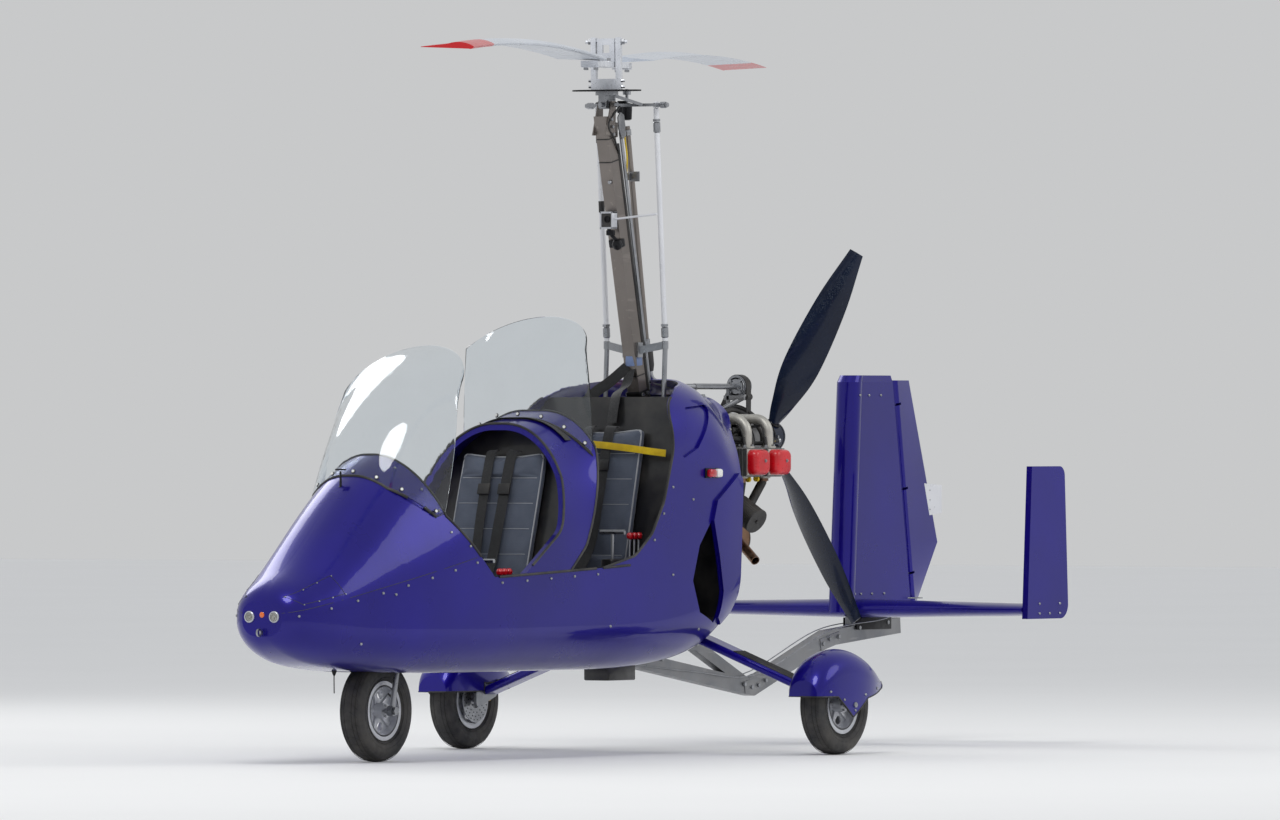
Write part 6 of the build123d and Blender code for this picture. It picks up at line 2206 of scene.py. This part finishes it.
@dataclass
class RotorHead(Group):
    """What shows on the rotor head beyond its main pieces."""

    tip_start: float = 3.66
    height: float = 2.604
    tilt: float = math.radians(1.0)
    span_turn: float = math.radians(25.6)

    def build(self) -> None:
        """Makes the pieces."""
        self.axis = Vector((0.0, -math.sin(self.tilt), math.cos(self.tilt)))
        span = Vector((math.sin(self.span_turn), -math.cos(self.span_turn), 0.0))
        self.span = (span - self.axis * span.dot(self.axis)).normalized()
        self.across = self.axis.cross(self.span)
        self._tower()
        self._hub()
        self._drive()

    def at(self, along: float, across: float, up: float) -> Vector:
        """A point in the rotor's own axes."""
        return Vector((0.0, 0.0, self.height)) + self.span * along + self.across * across + self.axis * up

    def _tower(self) -> None:
        """Adds the tower's bolts, its teeter bolt's nuts and the gear's teeth."""
        bolts, big = [], Shape()
        for side in (-1.0, 1.0):
            face = self.across * side
            for along in (-0.02, 0.02):
                for up in (0.072, 0.096):
                    bolts.append((self.at(along, side * 0.0605, up), face))
            big.lathe(
                self.at(0, side * 0.0602, 0.253), face,
                ((0.0, 0.016), (0.003, 0.016), (0.003, 0.0125), (0.013, 0.0125), (0.014, 0.008),
                    (0.014, 0.0)), 6)
        self.bolts("tower_bolts", bolts, 0.0062, 0.01, Body.TOWER)
        self.piece("teeter_nuts", big, SATIN_STEEL, Body.ROTOR)
        self.repeats.ring(
            "gear_teeth", self.at(0, 0, 0.057), self.axis, DARK_STEEL, Body.TOWER, 110, 0.1355,
            (0.0062, 0.004, 0.0056))

    def _hub(self) -> None:
        """Adds the blade roots' plates and bolts on the hub bar."""
        plates, bolts = Shape(), []
        turn = Matrix((self.span, self.across, self.axis)).transposed()
        for side in (-1.0, 1.0):
            bolts += [(self.at(side * along, across, 0.149), -self.axis) for along in (0.445, 0.475, 0.505)
                      for across in (-0.02, 0.02)]
            bolts += [(self.at(side * along, across, 0.1725), self.axis) for along in (0.075, 0.115)
                      for across in (-0.021, 0.021)]
            plates.block(self.at(side * 0.095, 0.0, 0.1715), (0.085, 0.064, 0.006), turn, 0.002)
            plates.block(self.at(side * 0.47, 0.0, 0.1475), (0.105, 0.068, 0.005), turn, 0.002)
        self.piece("hub_plates", plates, TOWER_WHITE, Body.ROTOR)
        self.bolts("hub_bolts", bolts, 0.0065, 0.014, Body.ROTOR)

    def _drive(self) -> None:
        """Adds the prerotator's pinion and case, the box below the head and the tilting joints' nuts."""
        centre = Vector((0.0, 0.0, self.height)) + Vector((0.0, 0.147, 0.0))
        pinion = Shape().lathe(centre + self.axis * 0.043, self.axis, band(0.008, 0.0165, 0.02), 18)
        pinion.tube([centre - self.axis * 0.05, centre + self.axis * 0.066], 0.0065, 12)
        self.piece("prerotator_pinion", pinion, SATIN_STEEL, Body.HEAD)
        case = Shape()
        case.lathe(
            centre - self.axis * 0.06, self.axis,
            ((0.0, 0.01), (0.004, 0.019), (0.045, 0.021), (0.065, 0.021), (0.07, 0.012)), 24)
        case.block(centre + Vector((-0.018, -0.004, -0.006)), (0.044, 0.016, 0.05), bevel=0.003)
        self.piece("prerotator_case", case, DARK_STEEL, Body.HEAD)
        box = Shape().block((0.0, 0.03, self.height - 0.1), (0.04, 0.045, 0.06), bevel=0.004)
        self.piece("head_box", box, MAST_STEEL)
        for name, reach, aft, way, radius, body in (
                ("gimbal_nuts", 0.0412, 0.0, ACROSS, 0.0105, Body.GIMBAL),
                ("rod_eye_nuts", 0.187, 0.147, ACROSS, 0.0095, Body.HEAD),
                ("roll_nuts", 0.0435, 0.0, AFT, 0.0105, Body.GIMBAL)):
            nuts = [
                (Vector((0.0, aft, self.height)) + way * side * reach, way * side) for side in (-1.0, 1.0)]
            self.bolts(name, nuts, radius, 0.01, body)


@dataclass
class Engine(Group):
    """Fins, bolts, carburettors, plugs, leads, hoses, belts and clamps."""

    crank: Vector = Vector((0.0, 0.726, 1.167))
    steps: Pair = (-0.08, 0.08)
    fins: tuple = ((0.083, 11, 0.0115, 0.138, 0.12), (0.222, 5, 0.013, 0.136, 0.118))
    cover_steps: tuple = ((0.2925, 0.965), (0.2965, 1.0), (0.316, 0.985), (0.327, 0.925), (0.333, 0.84),
                          (0.3355, 0.74), (0.3362, 0.6))
    drum: Vector = Vector((0.05, 0.905, 1.474))
    hoses: tuple = (
        ("coolant_hose_port", 0.0125, (
            (0.085, 0.6, 1.245), (0.15, 0.57, 1.262), (0.215, 0.6, 1.262), (0.25, 0.64, 1.255))),
        ("coolant_hose_starboard", 0.0125, (
            (-0.085, 0.6, 1.245), (-0.15, 0.57, 1.262), (-0.215, 0.6, 1.262), (-0.25, 0.64, 1.255))),
        ("head_hose", 0.0085, (
            (0.13, 0.61, 1.246), (0.17, 0.7, 1.248), (0.225, 0.78, 1.243), (0.25, 0.842, 1.25),
            (0.262, 0.88, 1.256))),
        ("arch_hose", 0.0095, (
            (0.02, 0.8, 1.352), (0.05, 0.87, 1.392), (0.105, 0.915, 1.362), (0.145, 0.935, 1.3),
            (0.15, 0.94, 1.235))),
        ("second_arch_hose", 0.0095, (
            (0.03, 0.77, 1.35), (0.065, 0.835, 1.378), (0.12, 0.88, 1.346), (0.16, 0.9, 1.29),
            (0.165, 0.905, 1.235))),
        ("ribbed_hose", 0.021, (
            (0.15, 0.57, 1.085), (0.215, 0.56, 1.07), (0.25, 0.562, 1.035), (0.225, 0.575, 0.995))),
        ("lower_hose", 0.0095, (
            (0.075, 0.6, 1.085), (0.13, 0.575, 1.03), (0.16, 0.6, 0.985), (0.13, 0.665, 0.955),
            (0.06, 0.7, 0.99), (0.03, 0.71, 1.068))),
        ("oil_hose", 0.0095, ((0.05, 0.575, 1.24), (0.1, 0.52, 1.2), (0.12, 0.48, 1.08), (0.1, 0.46, 0.93))),
    )
    clips: tuple = ((0.205, 0.755, 1.245), (0.25, 0.842, 1.25), (0.255, 0.655, 1.098), (0.262, 0.705, 1.1))

    def build(self) -> None:
        """Makes the pieces."""
        self._cylinders()
        self._covers()
        self._carburettors()
        self._pulley()
        self._hoses()
        self._plumbing()

    def _cylinders(self) -> None:
        """Adds the cooling fins and the heads' bolts."""
        fins = Shape()
        for _, sign in SIDES:
            for step in self.steps:
                for first, count, gap, wide, high in self.fins:
                    for place in range(count):
                        at = self.crank + Vector((sign * (first + place * gap), step, 0.0))
                        fins.block(at, (0.0026, wide, high), bevel=0.0009)
        self.piece("cylinder_fins", fins, ENGINE_METAL)
        bolts = []
        for y in (-0.13, -0.05, 0.05, 0.13):
            for z in (-0.07, 0.07):
                for _, sign in SIDES:
                    bolts.append((self.crank + Vector((sign * 0.0762, y, z)), ACROSS * sign))
            bolts += [(self.crank + Vector((x, y, 0.0962)), UP) for x in (0.05, -0.05)]
        self.bolts("case_bolts", bolts, 0.0062, 0.008)
        gear = [(at, AFT) for at in circle((0.0, 1.0415, 1.25), 0.072, 10, ACROSS, UP)]
        self.bolts("gearbox_bolts", gear, 0.0055, 0.008)
        bands = Shape()
        for y in (0.9, 0.965, 1.03):
            bands.lathe(
                (0.0, y, 1.25), AFT, ((0.0, 0.0835), (0.002, 0.0885), (0.01, 0.0885), (0.012, 0.0835)), 48)
        self.piece("gearbox_flanges", bands, ENGINE_METAL)

    def _covers(self) -> None:
        """Rounds each rocker cover and adds its screw and gasket."""
        covers, bolts, gaskets = Shape(), [], Shape()
        for _, sign in SIDES:
            for step in self.steps:
                centre = self.crank + Vector((0.0, step, 0.0))
                rings = []
                for reach, part in self.cover_steps:
                    rings.append([covers.bm.verts.new(centre + Vector((sign * reach, y * part, z * part)))
                                  for y, z in self._rounded(0.059, 0.052, 0.026)])
                covers.join(rings, False, True)
                bolts.append((centre + Vector((sign * 0.3362, 0.012, 0.006)), ACROSS * sign))
                gaskets.block(
                    self.crank + Vector((sign * 0.2935, step, 0.0)), (0.0035, 0.12, 0.106), bevel=0.001)
        red = self.piece("rounded_covers", covers, RED_ENAMEL, sharp=60.0)
        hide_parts("rocker_covers")
        self.piece("cover_gaskets", gaskets, LIGHT_CAST)
        self.heads("cover_washers", bolts, 0.0072, 0.002, sides=20, top=1.0)
        self.bolts("cover_bolts", [(p + n * 0.002, n) for p, n in bolts], 0.0048, 0.004)

    @staticmethod
    def _rounded(half_wide: float, half_high: float, radius: float) -> list[Pair]:
        """The outline of a rectangle with rounded corners.

        Args:
            half_wide: Half its width.
            half_high: Half its height.
            radius: The corners' radius.

        Returns:
            The outline's points.
        """
        line = []
        for quarter, (wide, high) in enumerate(((1, 1), (-1, 1), (-1, -1), (1, -1))):
            for step in range(7):
                angle = math.pi / 2 * (quarter + step / 6)
                line.append((wide * (half_wide - radius) + math.cos(angle) * radius,
                             high * (half_high - radius) + math.sin(angle) * radius))
        return line

    def _carburettors(self) -> None:
        """Adds a carburettor with its bowl, cap and clamps to each front intake."""
        bodies, bowls, brass, clamps = Shape(), Shape(), Shape(), Shape()
        for _, sign in SIDES:
            centre = Vector((sign * 0.105, self.crank.y - 0.165, self.crank.z + 0.172))
            bodies.lathe(centre - AFT * 0.05, AFT, ((0.0, 0.019), (0.01, 0.026), (0.03, 0.03), (0.07, 0.03),
                                                    (0.09, 0.024), (0.11, 0.022)), 28)
            bodies.lathe(
                centre, UP,
                ((0.02, 0.024), (0.055, 0.026), (0.062, 0.032), (0.072, 0.032), (0.078, 0.02), (0.08, 0.0)),
                28)
            bowls.lathe(
                centre - UP * 0.02, -UP,
                ((0.0, 0.024), (0.006, 0.029), (0.034, 0.027), (0.04, 0.018), (0.041, 0.0)), 28)
            for at in circle(centre + UP * 0.074, 0.026, 4, ACROSS, AFT, 0.5):
                brass.lathe(at, UP, band(0.003, 0.0045, 0.006), 8)
            brass.lathe(centre - UP * 0.062, -UP, puck(0.008, 0.01), 6)
            for y in (-0.046, 0.052):
                clamps.lathe(centre + AFT * y, AFT, band(0.0268, 0.0292, 0.01), 32)
        self.piece("carburettors", bodies, LIGHT_CAST)
        self.piece("carburettor_bowls", bowls, ENGINE_METAL)
        self.piece("carburettor_brass", brass, BRASS)
        self.piece("carburettor_clamps", clamps, SATIN_STEEL)

    def _pulley(self) -> None:
        """Adds the grooved pulley at the top, its arms, its shaft and its belt."""
        centre = self.drum
        drum = Shape()
        profile = [(-0.026, 0.008), (-0.026, 0.03), (-0.02, 0.034), (-0.02, 0.046)]
        for groove in range(4):
            profile += [(-0.016 + groove * 0.009, 0.046), (-0.0115 + groove * 0.009, 0.041)]
        profile += [(0.02, 0.046), (0.026, 0.046), (0.026, 0.008)]
        drum.lathe(centre, AFT, profile, 48)
        for ring in (0.018, 0.026, 0.038):
            drum.lathe(
                centre - AFT * 0.0215, -AFT,
                ((0.0, ring - 0.002), (0.003, ring - 0.001), (0.003, ring + 0.001), (0.0, ring + 0.002)), 40)
        self.piece("top_drum", drum, SATIN_STEEL)
        bolts = [(at, -AFT) for at in circle(centre - AFT * 0.024, 0.032, 4, ACROSS, UP, 0.5)]
        self.bolts("drum_bolts", bolts, 0.0075, 0.009)
        self.tube(
            "drum_shaft", ((0.055, 0.56, 1.474), (0.05, 0.885, 1.474)), 0.012, SATIN_STEEL, sides=20,
            smooth=False)
        arms = Shape()
        arms.block((0.02, 0.872, 1.405), (0.016, 0.01, 0.13), bevel=0.002)
        arms.block((0.05, 0.872, 1.428), (0.1, 0.01, 0.02), bevel=0.002)
        arms.tube([(0.09, 0.9, 1.436), (-0.01, 0.8, 1.36)], 0.0105, 14)
        arms.tube([(0.05, 0.876, 1.474), (0.094, 0.9, 1.432)], 0.006, 12)
        arms.block((0.0, 0.872, 1.343), (0.12, 0.04, 0.012), bevel=0.002)
        self.piece("drum_foot", arms, KEEL_STEEL)
        knob = Shape().lathe(
            (0.09, 0.892, 1.432), AFT,
            ((0.0, 0.012), (0.004, 0.014), (0.034, 0.014), (0.038, 0.01), (0.038, 0.0)), 20)
        self.piece("belt_tensioner", knob, BLACK_RUBBER)
        low, path = Vector((0.0, 0.905, 1.25)), []
        for hub, radius, first, swept, count in ((centre, 0.0475, 200, 200, 12), (low, 0.098, 12, 204, 14)):
            for step in range(count + 1):
                angle = math.radians(first - swept * step / count)
                path.append(hub + Vector((math.cos(angle), 0.0, math.sin(angle))) * radius)
        belt = Shape().strap([*path, path[0]], 0.034, 0.005, UP)
        self.piece("drive_belt", belt, BLACK_RUBBER)
        wheel = Shape().lathe(
            low - AFT * 0.019, AFT, ((0.0, 0.085), (0.0, 0.0945), (0.038, 0.0945), (0.038, 0.085)), 56)
        self.piece("belt_wheel", wheel, DARK_STEEL)
        cross = Shape().tube([(-0.15, 0.475, 1.43), (0.15, 0.475, 1.43)], 0.011, 16)
        for x in (-0.15, 0.15):
            cross.lathe((x, 0.475, 1.43), ACROSS * (1 if x > 0 else -1), puck(0.014, 0.008), 6)
        for x in (-0.06, 0.06):
            cross.tube([(x, 0.475, 1.43), (x * 0.75, 0.285, 1.345)], 0.008, 12)
        cross.tube([(0.054, 0.475, 1.43), (0.054, 0.6, 1.474)], 0.007, 12)
        self.piece("cross_tube", cross, SATIN_STEEL)

    def _hoses(self) -> None:
        """Runs the hoses with their clamps, ribs and clips, and the plugs' leads."""
        for name, radius, path in self.hoses:
            self.tube(name, path, radius, BLACK_RUBBER, sides=14)
        leads, boots, plugs = Shape(), Shape(), Shape()
        for _, sign in SIDES:
            for row, step in enumerate(self.steps):
                for shift in (-0.03, 0.03):
                    plug = self.crank + Vector((sign * 0.262, step + shift, 0.056))
                    plugs.lathe(plug, UP, ((0.0, 0.01), (0.008, 0.01), (0.008, 0.006), (0.022, 0.005)), 6)
                    boots.tube([plug + UP * 0.014, plug + Vector((-sign * 0.006, 0.0, 0.046))], 0.0075, 12)
                    path = (
                        plug + Vector((-sign * 0.006, 0.0, 0.044)),
                        plug + Vector((-sign * 0.035, 0.01, 0.094)),
                        self.crank + Vector((sign * 0.12, 0.05 + 0.02 * row, 0.125)),
                        self.crank + Vector((sign * 0.06, 0.12 + shift * 0.4, 0.118)))
                    leads.tube(smooth_path(path), 0.0036, 8)
        self.piece("spark_plugs", plugs, SATIN_STEEL)
        self.piece("plug_boots", boots, BLACK_RUBBER)
        self.piece("plug_leads", leads, BLACK_RUBBER)
        rings = Shape()
        for name, radius, path in self.hoses:
            line = smooth_path(path)
            for end, way in ((line[1], line[2] - line[0]), (line[-2], line[-1] - line[-3])):
                rings.lathe(end, way, band(radius, radius + 0.0016, 0.01, -0.005), 24)
        self.piece("hose_clamps", rings, SATIN_STEEL)
        ribbed = next(path for name, _, path in self.hoses if name == "ribbed_hose")
        self.repeats.along(
            "hose_ribs", smooth_path(ribbed, 12), FILTER_BLACK, Body.AIRFRAME, 0.0085, 0.0225, 0.003, 28)
        clips = Shape()
        for place in self.clips:
            clips.lathe(
                Vector(place) - AFT * 0.006, AFT,
                ((0.0, 0.0085), (0.0, 0.0118), (0.012, 0.0118), (0.012, 0.0085)), 16)
        self.piece("yellow_clips", clips, YELLOW_WEBBING)

    def _plumbing(self) -> None:
        """Ribs the air filter and bands the silencer and the intake bends."""
        start, end = Vector((0.27, 0.56, 0.985)), Vector((0.36, 0.55, 0.93))
        run = (end - start).normalized()
        self.repeats.along(
            "filter_ribs", [start + run * 0.012, end - run * 0.012], FILTER_BLACK, Body.AIRFRAME, 0.0072,
            0.0525, 0.0034, 36)
        caps = Shape()
        for at, sign in ((start, -1.0), (end, 1.0)):
            caps.lathe(
                at - run * 0.004 * sign, run * sign,
                ((0.0, 0.0502), (0.0, 0.0535), (0.008, 0.0535), (0.008, 0.0)), 36)
        caps.lathe(end + run * 0.004, run, puck(0.008, 0.006), 6)
        self.piece("filter_caps", caps, BLACK_RUBBER, slot="filter_black")
        bands = Shape()
        for x in (-0.246, -0.16, 0.16, 0.246):
            bands.lathe((x - 0.006, 0.62, 0.86), ACROSS, band(0.0555, 0.0585, 0.012), 44)
        self.piece("silencer_bands", bands, SATIN_STEEL)
        wraps = Shape().lathe((-0.24, 0.62, 0.86), ACROSS, band(0.0561, 0.0568, 0.48), 44)
        rings, bolts = Shape(), []
        for _, sign in SIDES:
            for step in self.steps:
                head = self.crank + Vector((sign * 0.23, step, -0.074))
                foot = Vector((sign * 0.2, 0.64, 0.88))
                run = (foot - head).normalized()
                wraps.tube([head + run * 0.006, foot - run * 0.03], 0.0182, 16)
                foot = self.crank + Vector((sign * 0.255, step, 0.0565))
                rings.lathe(foot, UP, band(0.0198, 0.03, 0.008), 28)
                bolts += [(at, UP) for at in circle(foot + UP * 0.009, 0.0255, 2, ACROSS, AFT)]
                side = self.crank + Vector((sign * 0.075, step, 0.175))
                rings.lathe(side, ACROSS * sign, band(0.0198, 0.0235, 0.03), 28)
                port = self.crank + Vector((sign * 0.23, step, -0.058))
                rings.lathe(port, -UP, band(0.0218, 0.03, 0.007), 28)
        self.piece("exhaust_wraps", wraps, FILTER_BLACK)
        self.piece("port_flanges", rings, LIGHT_CAST)
        self.bolts("flange_bolts", bolts, 0.0045, 0.007)


@dataclass
class Propeller(Group):
    """The propeller's smoother blades, and its hub's bands, cuffs and bolts."""

    centre: Vector = Vector((0.0, 1.197, 1.27))
    stations: tuple = ((0.058, 0.046, 0.044, 60.0), (0.15, 0.096, 0.03, 48.0), (0.33, 0.152, 0.02, 30.0),
                       (0.62, 0.132, 0.013, 18.0), (0.865, 0.062, 0.007, 12.0))

    @staticmethod
    def blade_way(degrees: float) -> Vector:
        """A direction square to the propeller's axis, turned from straight up."""
        return Vector((math.sin(math.radians(degrees)), 0.0, math.cos(math.radians(degrees))))

    def _blades(self) -> None:
        """Runs smooth blades through the solids' own sections."""
        sizes = smooth_path([(radius, chord, thick) for radius, chord, thick, _ in self.stations], 12)
        twists = smooth_path([(radius, twist, 0.0) for radius, _, _, twist in self.stations], 12)
        blades = Shape()
        for turn in range(3):
            out = self.blade_way(30.0 + 120.0 * turn)
            rings = []
            for (radius, chord, thick), (_, twist, _) in zip(sizes, twists):
                swing = math.radians(twist)
                wide = AFT.cross(out) * math.cos(swing) + AFT * math.sin(swing)
                deep = out.cross(wide)
                ring = []
                for step in range(36):
                    lean = 2 * math.pi * step / 36
                    high = math.copysign(math.sin(lean) ** 2, math.sin(lean)) * thick / 2
                    ring.append(
                        blades.bm.verts.new(self.centre + out * radius + wide * math.cos(lean) * chord / 2
                            + deep * high))
                rings.append(ring)
            blades.join(rings, False, True)
        piece = self.piece("smooth_blades", blades, PROP_NAVY, Body.PROPELLER)
        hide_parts("prop_blades")

    def build(self) -> None:
        """Makes the pieces."""
        self._blades()
        plate = Shape()
        plate.lathe((0.0, 1.155, 1.27), AFT, band(0.0625, 0.0655, 0.008), 48)
        plate.lathe((0.0, 1.228, 1.27), AFT, band(0.0622, 0.0632, 0.003), 48)
        self.piece("hub_bands", plate, DARK_STEEL, Body.PROPELLER)
        bolts, cuffs = [], Shape()
        for step in range(6):
            way = self.blade_way(30.0 + 60.0 * step)
            bolts.append((Vector((0.0, 1.1755, 1.27)) + way * 0.0622, way))
        for turn in range(3):
            way = self.blade_way(30.0 + 120.0 * turn)
            cuffs.lathe(
                self.centre + way * 0.06, way, ((0.0, 0.03), (0.004, 0.03), (0.008, 0.0265), (0.008, 0.02)),
                32)
        self.piece("blade_cuffs", cuffs, DARK_STEEL, Body.PROPELLER)
        self.bolts("prop_bolts", bolts, 0.0055, 0.008, Body.PROPELLER)


@dataclass
class Tail(Group):
    """The tail's screws, cables and horn, and the keel's bolts, plates and brackets."""

    keel_bolts: tuple = (
        (0.36, 0.372), (0.36, 0.43), (0.62, 0.43), (0.98, 0.262), (1.035, 0.248), (1.085, 0.256),
        (1.14, 0.275), (1.58, 0.418), (1.63, 0.436), (1.7, 0.446), (1.86, 0.48), (2.08, 0.5))
    fin_screws: tuple = (
        (1.8, 0.62), (1.86, 0.62), (1.95, 0.62), (2.05, 0.62), (1.83, 1.44), (1.93, 1.44), (2.03, 1.44))
    plate_screws: tuple = ((1.9, 0.545), (1.98, 0.545), (2.06, 0.545), (1.9, 0.585), (2.06, 0.585))

    def build(self) -> None:
        """Makes the pieces."""
        keel, bolts = Skin("keel"), []
        for _, sign in SIDES:
            bolts += keel.spots(self.keel_bolts, sign, 0.002)
        self.bolts("keel_bolts", bolts, 0.0088, 0.009)
        plates = Shape()
        turn = Matrix.Rotation(math.radians(12.0), 3, "X")
        for y, z in ((1.06, 0.262), (1.64, 0.428)):
            for _, sign in SIDES:
                plates.block((sign * 0.0265, y, z), (0.003, 0.15, 0.05), turn, 0.001)
        self.piece("keel_plates", plates, KEEL_STEEL)
        bracket = Shape()
        for _, sign in SIDES:
            bracket.block((sign * 0.031, 1.97, 0.497), (0.006, 0.27, 0.05), bevel=0.002)
        self.piece("tail_brackets", bracket, DARK_STEEL)
        for name, x in (("port_rudder_cable", 0.032), ("starboard_rudder_cable", -0.032)):
            self.tube(
                name,
                ((x, -0.05, 0.372), (x, 0.6, 0.318), (x * 1.05, 1.06, 0.3), (x * 1.05, 1.62, 0.47),
                    (x * 1.1, 2.05, 0.515), (x * 1.3, 2.24, 0.575)), 0.0022, SATIN_STEEL)
        skin, heads = Skin("fin"), []
        for side, sign in SIDES:
            heads += skin.spots(self.fin_screws, sign, 0.0008)
            heads += Skin(f"{side}_end_plate").spots(self.plate_screws, sign, 0.0008)
        self.heads("tail_screws", heads, 0.0055, 0.0034, sides=12)
        tab = Shape()
        for z in (0.965, 1.005, 1.045):
            tab.lathe((0.0055, 2.452, z), ACROSS, ((0.0, 0.0035), (0.002, 0.003), (0.0025, 0.0)), 10)
        self.piece("tab_rivets", tab, SATIN_STEEL, Body.RUDDER)
        horn = Shape()
        for _, sign in SIDES:
            horn.panel(
                [(sign * x, y, 0.596)
                    for x, y in ((0.022, 2.245), (0.022, 2.33), (0.066, 2.3), (0.066, 2.275))], UP * 0.005,
                0.001)
        self.piece("rudder_horn", horn, SATIN_STEEL, Body.RUDDER)


def write_sizes() -> None:
    boxes = {"cad": CAD_BOX, "visual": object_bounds()}
    {label: [list(corner) for corner in box] for label, box in boxes.items()}


def main() -> None:
    """Builds the classes in order."""
    logging.basicConfig(level=logging.INFO, format="%(name)s: %(message)s")
    bpy.context.scene.view_settings.view_transform = "Standard"
    shop = Workshop()
    Studio().build()
    shop.dress_nodes()
    tools = (shop, Repeats(shop), Skin("body_tub", "nose_cowl", "mid_cowl", "rear_cowl"))
    for group in (
            HullTrim, ScreenTrim, Cushions, Cockpit, Wheels, Gear, MastFittings, RotorHead, Engine, Propeller,
            Tail):
        group(*tools).build()
    write_sizes()


if __name__ == "__main__":
    main()
